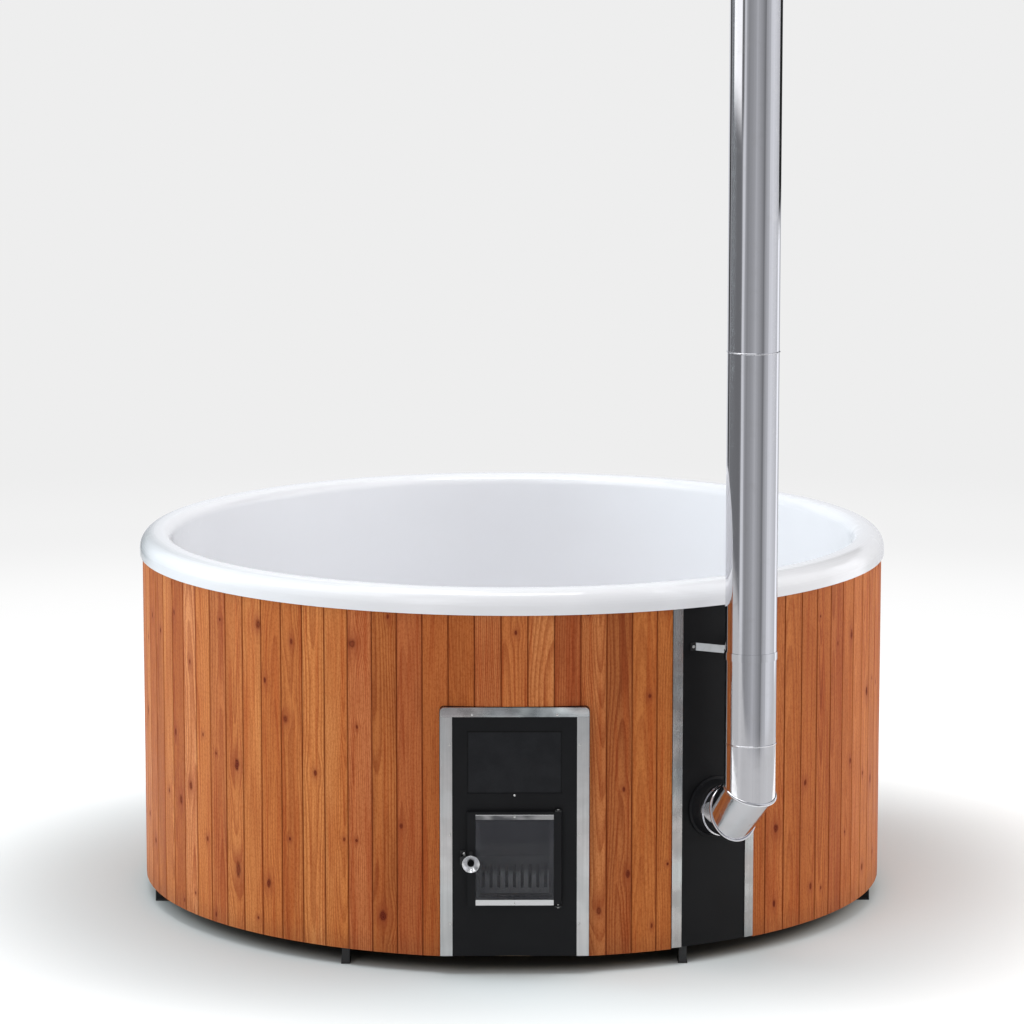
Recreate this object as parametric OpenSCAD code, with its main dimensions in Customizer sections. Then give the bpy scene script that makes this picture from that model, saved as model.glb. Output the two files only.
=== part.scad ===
// Round wood-clad hot tub with a built-in wood-fired water heater.
// Millimetres, +Z up. The origin is on the ground under the tub's axis, and the
// heater's door faces -Y. Azimuths run from the heater's centre line towards +X.

/* [Tub] */
// Radius over the wooden boards
tub_r = 1015; // [980:5:1060]
// Height of the rim's lower edge above the ground
lip_z = 937; // [900:1:1000]
// Height of the rim above its own lower edge
rim_h = 63; // [58:1:75]

/* [Liner] */
// Wall of the white moulded liner
liner_t = 6; // [5:0.5:8]
// Gap between the boards and the rim's lip
lip_gap = 0.5; // [0.3:0.1:4]
// Width of the rim, from its outer face to the bathing wall
rim_w = 86; // [80:1:110]
// Rounding of the rim's outer shoulder
rim_outer_round = 45; // [40:1:50]
// Rounding of the rim's inner shoulder
rim_inner_round = 30; // [20:1:32]
// Height of the bench above the ground
bench_z = 500; // [495:5:560]
// Depth of the bench, from the wall to its front edge
bench_w = 375; // [330:5:400]
// Rounding in the corner between the wall and the bench
bench_corner_round = 60; // [40:5:80]
// Rounding of the bench's front edge
bench_edge_round = 35; // [25:1:45]
// Rounding in the corner between the foot well and its floor
floor_corner_round = 60; // [40:5:80]

/* [Cladding] */
// Boards all the way round, the removed ones counted
board_count = 94; // [90:1:98]
// Thickness of a board
board_t = 18; // [16:1:20]
// Open joint between two boards
board_gap = 0.9; // [0.6:0.1:1.5]
// Chamfer along a board's two outer edges
board_chamfer = 1.6; // [1:0.1:2.5]
// Thickness of a board's tongue
tongue_t = 5; // [4:0.5:6]
// How far a tongue reaches past its board's edge
tongue_len = 5; // [4:0.5:7]
// Height of each plywood hoop that carries the boards
hoop_h = 40; // [30:1:50]
// Radial thickness of a hoop
hoop_t = 21; // [18:1:22]
// Height of the middle hoop's lower edge
middle_hoop_z = 505; // [500:5:560]

/* [Base] */
// Rubber pad under each foot
pad_t = 5; // [3:1:8]
// Height of the steel tubes
tube_h = 40; // [38:1:60]
// Width of the steel tubes
tube_w = 20; // [18:1:30]
// Wall of the steel tubes
tube_wall = 2; // [1.5:0.5:3]
// Distance of each long rail from the centre line
rail_x = 436; // [400:1:480]
// Distance of each cross tube from the centre line
cross_y = 226; // [180:1:280]
// Gap between a tube's end and the boards' outer face, seen from above
foot_inset = 13; // [5:1:30]
// Thickness of a tube's end cap
cap_t = 3; // [2:0.5:5]
// Plywood floor deck
deck_t = 18; // [15:1:21]
// Foam under the liner's floor
floor_foam_t = 40; // [30:5:60]
// Foam behind the liner's wall
wall_foam_t = 30; // [20:1:31]

/* [Heater] */
// Visible width of the black front panel
panel_w = 318; // [300:1:340]
// Height of the heater front's top edge
front_top_z = 699.6; // [690:0.1:720]
// Height of the heater front's lower edge
front_bottom_z = 50.7; // [48:0.1:60]
// Visible width of the steel trim at the sides
side_trim_w = 31; // [25:1:36]
// Visible height of the steel trim at the top
top_trim_h = 24.6; // [20:0.1:30]
// Rounding of the trim's two upper corners
trim_round = 12; // [8:1:18]
// Sheet of the trim
trim_t = 1.5; // [1:0.1:2]
// Depth of the trim's folded edge
trim_return = 32; // [25:1:36]
// Sheet of the front panel
panel_t = 3; // [2:0.5:4]
// Space between the panel and the water jacket
jacket_gap = 9; // [8:0.5:12]
// Width over the water jacket
jacket_w = 300; // [290:1:310]
// Depth of the water jacket
jacket_d = 484; // [470:2:494]
// Height of the water jacket's top
jacket_top_z = 660; // [650:5:670]
// Plate of the water jacket
jacket_t = 4; // [3:0.5:5]
// Water space at the sides and behind the firebox
water_gap = 36; // [34:1:38]
// Water space over the firebox
water_over = 96; // [80:1:110]
// Water space under the firebox
water_under = 80; // [60:1:90]
// Plate of the firebox
firebox_t = 5; // [4:0.5:6]
// Height of the soot cover's lower edge
cover_z = 476.2; // [470:0.1:490]
// Height of the soot cover
cover_h = 162.5; // [140:0.5:170]
// Width of the soot cover
cover_w = 241; // [220:1:250]
// Radius of the two water pipes
water_pipe_r = 20; // [16:1:22]
// Height of the lower water pipe
lower_pipe_z = 180; // [170:5:200]
// Height of the upper water pipe
upper_pipe_z = 600; // [580:5:610]

/* [Door] */
// Width of the door
door_w = 241; // [238:1:244]
// Height of the door's lower edge
door_z = 181.8; // [180:0.1:185]
// Height of the door
door_h = 248.8; // [246:0.2:252]
// Thickness of the door frame
door_t = 14; // [13:0.5:15]
// Gap between the closed door and the panel
door_gap = 2.3; // [2:0.1:3]
// Width of the glass pane
glass_w = 199; // [196:1:202]
// Thickness of the glass pane
glass_t = 4; // [3:0.5:5]
// Width of the window through the door frame
window_w = 190; // [186:1:192]
// Height of the upper clamping strip
upper_strip_h = 12.7; // [11:0.1:14]
// Height of the lower clamping strip
lower_strip_h = 14.4; // [12:0.1:15]
// Distance of each strip from the door's nearer edge
strip_inset = 6; // [5:0.5:7]
// How far a strip covers the glass
strip_cover = 3.6; // [3:0.1:4.5]
// Sheet of the strips
strip_t = 1.7; // [1:0.1:2]
// Radius of the hinge pins
pin_r = 2.5; // [2:0.1:2.8]
// Distance of the hinge axis from the heater's centre line
hinge_x = 111; // [110.5:0.1:111.5]
// Distance of the hinge axis in front of the panel
hinge_depth = 11; // [10.6:0.1:11.4]
// Thickness of a hinge lug
lug_t = 4.2; // [3.5:0.1:4.8]

/* [Handle] */
// Distance of the handle's axis from the heater's centre line
handle_x = 111.5; // [111.2:0.1:112]
// Radius of the handle's shaft
shaft_r = 5; // [4:0.1:5]
// Length of the flared knob
knob_len = 42; // [35:1:50]
// Radius of the knob at its open end
knob_r = 22; // [18:1:25]
// Radius of the knob at the door
knob_root_r = 11; // [10.5:0.1:12]
// Sheet of the knob
knob_t = 1.6; // [1.2:0.1:2]
// Reach of the latch cam from the shaft's axis
cam_len = 23; // [21:0.5:24]
// Thickness of the latch cam
cam_t = 3; // [2:0.5:4]

/* [Flue] */
// Boards between the heater's centre line and the flue's
flue_board = 8; // [8:1:8]
// Outer radius of the flue pipes
flue_r = 66; // [60:1:68]
// Sheet of the flue pipes
flue_t = 2; // [1.5:0.5:3]
// Distance of the upright pipe's axis from the boards
flue_stand_off = 160; // [155:1:180]
// Height of the flue's wall outlet
outlet_z = 409; // [405:1:412]
// Distance from the boards to the elbow's first mitre
elbow_reach = 85; // [80:1:90]
// Height of the joint between the elbow and the lower pipe
lower_joint_z = 606; // [580:1:640]
// Length of each upright pipe
pipe_len = 1000.7; // [700:0.1:1200]
// Insertion depth of each pipe into the one below
spigot_len = 40; // [30:1:60]
// Radius of the bead at each pipe joint
bead_r = 2; // [1.5:0.1:2.5]
// Width of the flue's curved wall panel, its trims included
flue_panel_w = 252; // [240:1:256]
// Sheet of the flue's wall panel
flue_panel_t = 2; // [1:0.5:3]
// Visible width of each trim beside the flue panel
flue_trim_w = 28; // [20:1:32]
// Radius of the black wall collar's flange
collar_r = 80; // [78:1:84]
// Length of the black wall collar
collar_len = 33; // [28:1:36]
// Height of the wall bracket's lower edge
bracket_z = 825.5; // [780:0.5:880]
// Height of the bracket's strip and of its pipe clamp
bracket_h = 20; // [16:1:25]
// Radius of the rain cap
cap_r = 115; // [100:1:130]
// Height of the rain cap's cone
cap_h = 48; // [35:1:60]
// Open height between the pipe's top and the rain cap's edge
cap_rise = 45; // [35:1:60]

/* [Drain] */
// Distance from the foot well's rear wall to the floor drain's axis
drain_inset = 140; // [120:5:180]
// Outer radius of the drain pipe
drain_r = 16; // [14:0.5:16]
// Height of the drain pipe's axis
drain_z = 24; // [22:0.5:25]
// Radius of the valve's bore
valve_bore_r = 12; // [10:0.5:12.5]
// Outer radius of the valve body
valve_r = 20; // [19.5:0.1:20.5]
// Length of the valve body
valve_len = 56; // [52:1:70]
// Length of the plain hose spigot behind the valve
hose_spigot_len = 32; // [30:1:50]
// Length of the valve lever from its stem
lever_len = 85; // [60:1:110]

/* [Hidden] */
// general clearance between fixed pieces, and running clearance of a pin in its bore
fit = 0.3;
running = 0.06;
hole_play = 0.1;
// a cutting tool's margin past the faces that it cuts, and its size where it is a half space
past = 1;
big = 800;
round_fn = 96;
ring_fn = 180;
small_fn = 32;

// heights of the base
frame_top = pad_t + tube_h;
deck_top = frame_top + deck_t;
floor_z = deck_top + floor_foam_t + liner_t;
rim_top = lip_z + rim_h;
// radii of the liner
rim_r = tub_r + lip_gap + liner_t;
wall_r = rim_r - rim_w;
well_r = wall_r - bench_w;
back_r = wall_r + liner_t;
// boards
pitch = 360 / board_count;
board_face = tub_r * cos(pitch / 2);
board_back = board_face - board_t;
board_lap = 17;
board_top = lip_z + board_lap;
hoop_r = board_back - fit;
foot_r = tub_r - foot_inset;
// heater front: "depth" counts forwards from the panel's face
front_r = tub_r + 1;
front_half = panel_w / 2 + side_trim_w;
front_mid_z = (front_top_z + front_bottom_z) / 2;
board_clear = 1.5;
jacket_y = -(front_r - panel_t - jacket_gap);
jacket_back = jacket_y + jacket_d;
jacket_z = deck_top;
box_w = jacket_w - 2 * (jacket_t + water_gap);
box_z = jacket_z + jacket_t + water_under;
box_top = jacket_top_z - jacket_t - water_over;
box_y = jacket_y + jacket_t;
box_back = jacket_back - jacket_t - water_gap;
// liner's box around the heater
niche_side = 50;
niche_rear = 100;
niche_over = 64;
niche_w = jacket_w + 2 * niche_side;
niche_back = jacket_back + niche_rear;
niche_top = jacket_top_z + niche_over;
// door
door_top = door_z + door_h;
door_mid = door_z + door_h / 2;
door_face = door_gap + door_t;
glass_depth = door_face - glass_t;
strip_hi_z = door_top - strip_inset - upper_strip_h;
strip_lo_top = door_z + strip_inset + lower_strip_h;
glass_z = strip_lo_top - strip_cover;
glass_top = strip_hi_z + strip_cover;
glass_lap = 7;
window_z = glass_z + glass_lap;
window_top = glass_top - glass_lap;
window_h = window_top - window_z;
seal_w = 5;
seal_inset = 4;
seal_groove = 2;
fire_inset = 3;
fire_w = window_w - 2 * fire_inset;
fire_z = window_z + fire_inset;
fire_h = window_h - 2 * fire_inset;
throat_t = 3;
hinge_round = hinge_depth - 1.5;
notch_h = 8;
// handle
head_r = 6.2;
head_t = 3.4;
cam_depth = door_face + fit;
knob_depth = cam_depth + cam_t + fit;
cam_root_r = 9;
cam_tip_r = 4;
knob_floor = 3;
nut_seat = 0.2;
thread_end = 8;
keeper_x = door_w / 2 + 4;
// flue, in its own frame: +X radially outwards, Y along the wall
flue_az = flue_board * pitch;
pipe_s = tub_r + flue_stand_off;
mitre_s = tub_r + elbow_reach;
mitre_z = outlet_z + pipe_s - mitre_s;
elbow_s = tub_r + collar_len + fit;
flue_half_deg = flue_panel_w / 2 / tub_r * 180 / PI;
flue_trim_deg = flue_trim_w / tub_r * 180 / PI;
fit_deg = 3 * fit / tub_r * 180 / PI;
duct_r = flue_r - flue_t - 1;
duct_t = 2;
duct_y = -700;
duct_x = -duct_y * tan(flue_az);
duct_end = tub_r + elbow_reach / 2;
seam_rise = 0.8;
seam_half = 0.5;
upper_joint_z = lower_joint_z + pipe_len;
pipe_top = upper_joint_z + pipe_len;
clamp_t = 1.7;
clamp_bolt_r = 2.3;
clamp_bolt_len = 7;
clamp_back = pipe_s - flue_r - 13;
// drain
drain_y = well_r - drain_inset;
drain_bore_r = 12;
drain_body_r = drain_r + 6;
valve_y = tub_r + 17;
valve_socket = 10;
stem_y = valve_y + valve_len / 2;
ball_r = drain_bore_r + 5;
ball_flat = 2;
stem_r = 4;
lever_t = 3;
lever_z = drain_z + valve_r + 8;
valve_nut_h = 5;

// ---------------------------------------------------------------- outlines

// points of an arc about c, from angle a0 to a1
function arc(c, r, a0, a1, n = 8) =
    [for (i = [0 : n]) let (a = a0 + (a1 - a0) * i / n) [c[0] + r * cos(a), c[1] + r * sin(a)]];

function reversed(list) = [for (i = [len(list) - 1 : -1 : 0]) list[i]];

// unit normal of the step from a to b, on its left
function left_normal(a, b) = let (d = b - a) [-d[1], d[0]] / norm(d);

// a line of points moved t to its left, with mitred corners
function moved_left(line, t) =
    [for (i = [0 : len(line) - 1])
        let (
            before = left_normal(line[max(i, 1) - 1], line[max(i, 1)]),
            after = left_normal(line[min(i, len(line) - 2)], line[min(i, len(line) - 2) + 1])
        )
        line[i] + t * (before + after) / (1 + before * after)];

// closed outline of a sheet of thickness t on the left of a line
function sheet(line, t) = concat(line, reversed(moved_left(line, t)));

// the rim over its two shoulders, d behind its visible face
function rim_line(d) = concat(
    arc([rim_r - rim_outer_round, rim_top - rim_outer_round], rim_outer_round - d, 0, 90, 10),
    arc([wall_r + rim_inner_round, rim_top - rim_inner_round], rim_inner_round - d, 90, 180, 8)
);

// the liner from the rim's lower edge to the middle of the floor, d behind its visible face
function liner_line(d) = concat(
    [[rim_r - d, lip_z]],
    rim_line(d),
    arc([wall_r - bench_corner_round, bench_z + bench_corner_round], bench_corner_round + d, 0, -90),
    arc([well_r + bench_edge_round, bench_z - bench_edge_round], bench_edge_round - d, 90, 180),
    arc([well_r - floor_corner_round, floor_z + floor_corner_round], floor_corner_round + d, 0, -90),
    [[0, floor_z - d]]
);

// ---------------------------------------------------------------- placing

// children at x, a height z and a depth in front of the heater's panel, with their +Z forwards
module on_front(x, depth, z) translate([x, -front_r - depth, z]) rotate([90, 0, 0]) children();

// a block on the heater's front, from depth d0 to d1
module front_block(x0, x1, z0, z1, d0, d1)
    translate([x0, -front_r - d1, z0]) cube([x1 - x0, d1 - d0, z1 - z0]);

// the same block, centred on the heater's centre line
module front_slab(w, z0, z1, d0, d1) front_block(-w / 2, w / 2, z0, z1, d0, d1);

// a heater front outline with its two upper corners rounded, drawn in X and Z and set forwards
module front_arch(half_w, z0, z1, r, d0, d1)
    translate([0, -front_r - d0, 0]) rotate([90, 0, 0]) linear_extrude(d1 - d0)
        union() {
            translate([-half_w, z0]) square([2 * half_w, z1 - r - z0]);
            translate([-half_w + r, z0]) square([2 * (half_w - r), z1 - z0]);
            for (side = [-1, 1]) translate([side * (half_w - r), z1 - r]) circle(r, $fn = small_fn);
        }

module in_flue_frame() rotate([0, 0, flue_az - 90]) children();

module on_pipe_axis(z) in_flue_frame() translate([pipe_s, 0, z]) children();

module tube(r_out, r_in, h, fn = round_fn) difference() {
    cylinder(h = h, r = r_out, $fn = fn);
    translate([0, 0, -past]) cylinder(h = h + 2 * past, r = r_in, $fn = fn);
}

// all points beyond a plane through p whose normal points along +X raised by tilt
module beyond(p, tilt) translate(p) rotate([0, -tilt, 0]) translate([0, -big / 2, -big / 2]) cube(big);

// a rod through p along +X raised by tilt, from u0 to u1
module rod(p, tilt, u0, u1, r) translate(p) rotate([0, 90 - tilt, 0]) translate([0, 0, u0])
    cylinder(h = u1 - u0, r = r, $fn = round_fn);

// tilt of the i-th leg of a path in X and Z, and of the mitre plane's normal at its far end
function leg_tilt(path, i) = atan2(path[i + 1][1] - path[i][1], path[i + 1][0] - path[i][0]);
function mitre_tilt(path, i) = (leg_tilt(path, i) + leg_tilt(path, i + 1)) / 2;

// solid legs of radius r along a path in X and Z, run on by extra at the path's two ends,
// with a raised seam over each mitre
module mitred_legs(path, r, extra = 0) {
    last = len(path) - 2;
    for (i = [0 : last]) {
        start = [path[i][0], 0, path[i][1]];
        end = [path[i + 1][0], 0, path[i + 1][1]];
        length = norm(end - start);
        tilt = leg_tilt(path, i);
        difference() {
            rod(start, tilt, i > 0 ? -r : -extra, length + (i < last ? r : extra), r);
            if (i > 0) beyond(start, mitre_tilt(path, i - 1) + 180);
            if (i < last) beyond(end, mitre_tilt(path, i));
        }
        if (i < last) seam(end, tilt, mitre_tilt(path, i), r);
    }
}

// the raised seam at p between a leg and the next, within seam_half of the mitre plane
module seam(p, tilt, plane_tilt, r) {
    normal = [cos(plane_tilt), 0, sin(plane_tilt)];
    difference() {
        rod(p, tilt, -r, r, r + seam_rise);
        beyond(p + seam_half * normal, plane_tilt);
        beyond(p - seam_half * normal, plane_tilt + 180);
    }
}

// a hollow pipe with mitred bends
module bent_pipe(path, r, t) difference() {
    mitred_legs(path, r);
    mitred_legs(path, r - t, past);
}

// domed screw head with a shank below its seat; a screw's size is its head's radius and height
module screw(size, shank, shank_l) {
    head = size[0];
    head_h = size[1];
    rotate_extrude($fn = small_fn) polygon([
        [0, 0], [head, 0], [head, head_h * 0.4], [head * 0.75, head_h * 0.85], [head * 0.35, head_h],
        [0, head_h]
    ]);
    translate([0, 0, -shank_l]) cylinder(h = shank_l + 0.01, r = shank, $fn = small_fn);
}

// ---------------------------------------------------------------- base

foot_long = sqrt(foot_r * foot_r - rail_x * rail_x);
foot_wide = sqrt(foot_r * foot_r - cross_y * cross_y);
pad_len = 60;

// a rubber pad, its long side along Y
module pad(len) translate([-tube_w / 2 - 2, -len / 2, 0]) cube([tube_w + 4, len, pad_t]);

module foot_pads() color([0.06, 0.06, 0.06]) {
    for (side = [-1, 1], end = [-1, 1]) {
        translate([side * rail_x, end * (foot_long - pad_len / 2), 0]) pad(pad_len);
        translate([side * (foot_wide - pad_len / 2), end * cross_y, 0]) rotate(90) pad(pad_len);
    }
    rotate(90) pad(2 * pad_len);
}

// a steel tube along Y, from y0 to y1
module steel_tube(y0, y1) translate([0, y0, pad_t]) difference() {
    translate([-tube_w / 2, 0, 0]) cube([tube_w, y1 - y0, tube_h]);
    translate([-tube_w / 2 + tube_wall, -past, tube_wall])
        cube([tube_w - 2 * tube_wall, y1 - y0 + 2 * past, tube_h - 2 * tube_wall]);
}

module frame_rails() color([0.1, 0.1, 0.11])
    for (side = [-1, 1]) translate([side * rail_x, 0, 0]) steel_tube(-foot_long + cap_t, foot_long - cap_t);

module cross_tubes() color([0.1, 0.1, 0.11]) {
    inner = rail_x - tube_w / 2;
    outer = rail_x + tube_w / 2;
    for (y = [-cross_y, 0, cross_y]) translate([0, y, 0]) rotate(-90) steel_tube(-inner, inner);
    for (side = [0, 180], y = [-cross_y, cross_y])
        rotate(side) translate([0, y, 0]) rotate(-90) steel_tube(outer, foot_wide - cap_t);
}

// a plastic cap closing a tube that ends at y, facing +Y
module end_cap(y) {
    plug_len = 15;
    gap = tube_wall + fit;
    translate([-tube_w / 2, y - cap_t, pad_t]) cube([tube_w, cap_t, tube_h]);
    translate([-tube_w / 2 + gap, y - cap_t - plug_len, pad_t + gap])
        cube([tube_w - 2 * gap, plug_len + cap_t / 2, tube_h - 2 * gap]);
}

module tube_end_caps() color([0.05, 0.05, 0.05])
    for (turn = [0, 180], side = [-1, 1]) rotate(turn) {
        translate([side * rail_x, 0, 0]) end_cap(foot_long);
        translate([0, side * cross_y, 0]) rotate(-90) end_cap(foot_wide);
    }

module drain_hole(r) translate([0, drain_y, -past]) cylinder(h = floor_z + 3 * past, r = r, $fn = small_fn);

module floor_deck() color([0.72, 0.57, 0.38]) difference() {
    translate([0, 0, frame_top]) cylinder(h = deck_t, r = hoop_r, $fn = ring_fn);
    drain_hole(drain_body_r + fit);
}

module floor_insulation() color([0.9, 0.87, 0.7]) difference() {
    translate([0, 0, deck_top]) cylinder(h = floor_foam_t, r = well_r + 2 * liner_t, $fn = ring_fn);
    niche_space(0);
    drain_hole(drain_body_r + fit);
}

// ---------------------------------------------------------------- liner

// the heater's space inside the liner, grown by t
module niche_space(t) translate([-niche_w / 2 - t, -tub_r, -past])
    cube([niche_w + 2 * t, tub_r + niche_back + t, niche_top + t + past]);

// the space that the bather's water can fill, reaching half way into the liner's wall
module wet_space() {
    half = liner_t / 2;
    translate([0, 0, floor_z - half]) cylinder(h = rim_top - floor_z, r = well_r + half, $fn = ring_fn);
    translate([0, 0, bench_z - half]) cylinder(h = rim_top - bench_z, r = wall_r + half, $fn = ring_fn);
}

module liner() color([0.96, 0.96, 0.97]) difference() {
    union() {
        rotate_extrude($fn = ring_fn) polygon(concat(liner_line(0), reversed(liner_line(liner_t))));
        intersection() {
            niche_space(liner_t);
            wet_space();
        }
    }
    niche_space(0);
    drain_hole(drain_body_r + fit);
    for (z = [lower_pipe_z, upper_pipe_z]) water_pipe_path(z, water_pipe_r + fit);
}

// timber ring that carries the rim, fitting its underside with the general clearance
module rim_core() color([0.72, 0.57, 0.38]) {
    inside = back_r + fit;
    foot = board_top - hoop_h / 2;
    rotate_extrude($fn = ring_fn) polygon(concat(
        [[inside, foot], [hoop_r, foot], [hoop_r, rim_top - rim_outer_round]],
        [for (p = rim_line(liner_t + fit)) if (p[0] < hoop_r && p[0] > inside) p],
        [[inside, rim_top - rim_inner_round]]
    ));
}

module wall_insulation() color([0.9, 0.87, 0.7]) difference() {
    translate([0, 0, deck_top + fit])
        tube(back_r + fit + wall_foam_t, back_r + fit, board_top - hoop_h / 2 - deck_top - 2 * fit, ring_fn);
    niche_space(liner_t + fit);
    in_flue_frame() rod([0, 0, outlet_z], 0, well_r, tub_r, duct_r + 2);
}

// plywood webs under the bench, kept clear of the heater and its smoke duct
module bench_supports() color([0.72, 0.57, 0.38]) {
    web_t = 18;
    web_count = 8;
    first_az = 50;
    in_r = well_r + liner_t + fit;
    top = bench_z - liner_t - fit;
    for (i = [0 : web_count - 1]) rotate(first_az + (360 - 2 * first_az) * i / (web_count - 1) - 90)
        translate([0, web_t / 2, 0]) rotate([90, 0, 0]) linear_extrude(web_t) polygon([
            [in_r, deck_top + floor_foam_t], [in_r + 2 * liner_t, deck_top + floor_foam_t],
            [in_r + 2 * liner_t, deck_top], [wall_r - bench_corner_round / 2, deck_top],
            [wall_r - bench_corner_round / 2, top], [well_r + bench_edge_round, top],
            [in_r, bench_z - bench_edge_round]
        ]);
}

// ---------------------------------------------------------------- cladding

// a strip across a board's joint, whose middle plane is x = 0, from x0 to x1
module joint_strip(x0, x1, t) translate([x0, -board_face + board_t / 2 - t / 2]) square([x1 - x0, t]);

// section of one board, centred on -Y, with a tongue on +X and a groove on -X
module board_section() {
    face_half = board_face * tan(pitch / 2) - board_gap / 2;
    back_half = board_back * tan(pitch / 2) - board_gap / 2;
    c = board_chamfer;
    difference() {
        union() {
            polygon([
                [-face_half + c, -board_face], [face_half - c, -board_face], [face_half, -board_face + c],
                [back_half, -board_back], [-back_half, -board_back], [-face_half, -board_face + c]
            ]);
            rotate(pitch / 2) joint_strip(-board_gap / 2 - past, tongue_len, tongue_t);
        }
        rotate(-pitch / 2) joint_strip(-past, tongue_len + 2 * fit, tongue_t + 2 * fit);
    }
}

// boards numbered from first to last, counted from the heater's centre line towards +X
module boards(first, last) for (i = [first : last]) rotate(i * pitch)
    translate([0, 0, frame_top]) linear_extrude(board_top - frame_top) board_section();

// the opening in the boards for the heater's front
module front_opening() front_arch(front_half + board_clear, -past, front_top_z + board_clear,
    trim_round + board_clear, -4 * board_t, 2 * board_t);

// a wedge of the wall between two angles from the flue, reaching past the wall
module flue_wedge(a0, a1) in_flue_frame() translate([0, 0, -past]) linear_extrude(rim_top)
    polygon([[0, 0], 2 * tub_r * [cos(a0), sin(a0)], 2 * tub_r * [cos(a1), sin(a1)]]);

notched = ceil(front_half / tub_r * 180 / PI / pitch);
flue_first = floor((flue_az - flue_half_deg) / pitch + 0.5);
flue_last = floor((flue_az + flue_half_deg) / pitch + 0.5);
quarter = round(board_count / 4);
wood = [0.68, 0.4, 0.22];

module cladding_front() color(wood) difference() {
    boards(-notched, notched);
    front_opening();
}

module cladding_left() color(wood) boards(-quarter, -notched - 1);

// the boards beside the flue panel are ripped to meet its trims
module cladding_right() color(wood) difference() {
    union() {
        boards(notched + 1, flue_first);
        boards(flue_last, quarter);
    }
    flue_wedge(-flue_half_deg - fit_deg, flue_half_deg + fit_deg);
}

module cladding_rear() color(wood) boards(quarter + 1, board_count - quarter - 1);

module cladding_hoops() color([0.72, 0.57, 0.38]) difference() {
    for (z = [deck_top, middle_hoop_z, board_top - 1.5 * hoop_h - fit]) translate([0, 0, z])
        tube(hoop_r, hoop_r - hoop_t, hoop_h, ring_fn);
    niche_space(liner_t + fit);
}

// ---------------------------------------------------------------- heater front

// places of the trim screws: three up each side and two along the top
screw_gap_x = 2 * 108;
screw_gap_z = 234;
screw_inset = 6;
trim_screw_spots = concat(
    [for (side = [-1, 1], k = [-1, 0, 1])
        [side * (panel_w / 2 + screw_inset), front_mid_z - screw_inset + k * screw_gap_z]],
    [for (side = [-1, 1]) [side * screw_gap_x / 2, front_top_z - top_trim_h + screw_inset]]
);
screw_shank_r = 2;
screw_len = 8;
trim_screw_size = [3.4, 2];
cover_screw_size = [3.2, 1.8];
cover_screw_z = cover_z - 5;

// a hole for a screw's shank through whatever lies near the front's face
module screw_hole(x, z) on_front(x, -15, z) cylinder(h = 30, r = screw_shank_r + hole_play, $fn = small_fn);

module trim_screw_holes() for (p = trim_screw_spots) screw_hole(p[0], p[1]);

module front_panel() color([0.09, 0.09, 0.1]) difference() {
    edge = front_half - trim_t - 2;
    top = front_top_z - trim_t - trim_round / 2;
    front_slab(2 * edge, front_bottom_z, top, -panel_t, 0);
    front_slab(fire_w, fire_z, fire_z + fire_h, -panel_t - past, past);
    front_slab(cover_w, cover_z, cover_z + cover_h, -panel_t - past, past);
    // the upper corners stay clear of the top trim's rounded ones
    for (side = [-1, 1]) front_block(side * edge - trim_round, side * edge + trim_round,
        top - trim_round, top + past, -panel_t - past, past);
    trim_screw_holes();
    screw_hole(0, cover_screw_z);
}

module stove_side_trims() color([0.78, 0.78, 0.77]) {
    top = front_top_z - top_trim_h - fit;
    difference() {
        for (side = [0, 1]) mirror([side, 0, 0]) {
            front_block(panel_w / 2, front_half, front_bottom_z, top, 0, trim_t);
            front_block(front_half - trim_t, front_half, front_bottom_z, top, trim_t - trim_return, trim_t);
        }
        trim_screw_holes();
    }
}

module stove_top_trim() color([0.82, 0.82, 0.83]) difference() {
    z0 = front_top_z - top_trim_h;
    front_arch(front_half, z0, front_top_z, trim_round, trim_t - trim_return, trim_t);
    front_arch(front_half - trim_t, z0 - past, front_top_z - trim_t, trim_round - trim_t, -trim_return, 0);
    trim_screw_holes();
}

module trim_screws() color([0.8, 0.8, 0.8]) for (p = trim_screw_spots)
    on_front(p[0], trim_t, p[1]) screw(trim_screw_size, screw_shank_r, screw_len);

// soot cover on the panel's back, seen through the panel's opening, which it laps all round
module cover_plate() color([0.08, 0.08, 0.09]) {
    side_lap = 8;
    foot_lap = 2;
    top = cover_z + cover_h + side_lap;
    front_slab(cover_w + 2 * side_lap, cover_z - foot_lap, top, -2 * panel_t, -panel_t);
}

module cover_screw() color([0.7, 0.7, 0.7])
    on_front(0, 0, cover_screw_z) screw(cover_screw_size, screw_shank_r, screw_len);

lug_depth = hinge_depth + 7;
lug_w = 16;
pin_head = [pin_r + 1.2, 2];
pin_play = 0.1;

// a lug whose lower face is at z, with a hole for its pin
module hinge_lug(z) difference() {
    front_block(hinge_x - lug_w / 2, hinge_x + lug_w / 2, z, z + lug_t, 0, lug_depth);
    hinge_axis(z - past, z + lug_t + past, pin_r + running);
}

// a rod on the hinge's axis, from z0 to z1
module hinge_axis(z0, z1, r) translate([hinge_x, -front_r - hinge_depth, z0])
    cylinder(h = z1 - z0, r = r, $fn = small_fn);

upper_lug_z = door_top + 1;
lower_lug_z = door_z + 0.4;
pin_depth = 14;

module hinge_lugs() color([0.1, 0.1, 0.1]) {
    hinge_lug(upper_lug_z);
    hinge_lug(lower_lug_z);
}

module hinge_pins() color([0.8, 0.8, 0.8]) {
    hinge_axis(door_top - pin_depth, upper_lug_z + lug_t + pin_play, pin_r);
    hinge_axis(upper_lug_z + lug_t, upper_lug_z + lug_t + pin_head[1], pin_head[0]);
    hinge_axis(lower_lug_z - pin_play, door_z + notch_h + pin_depth, pin_r);
    hinge_axis(lower_lug_z - pin_head[1], lower_lug_z, pin_head[0]);
}

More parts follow.
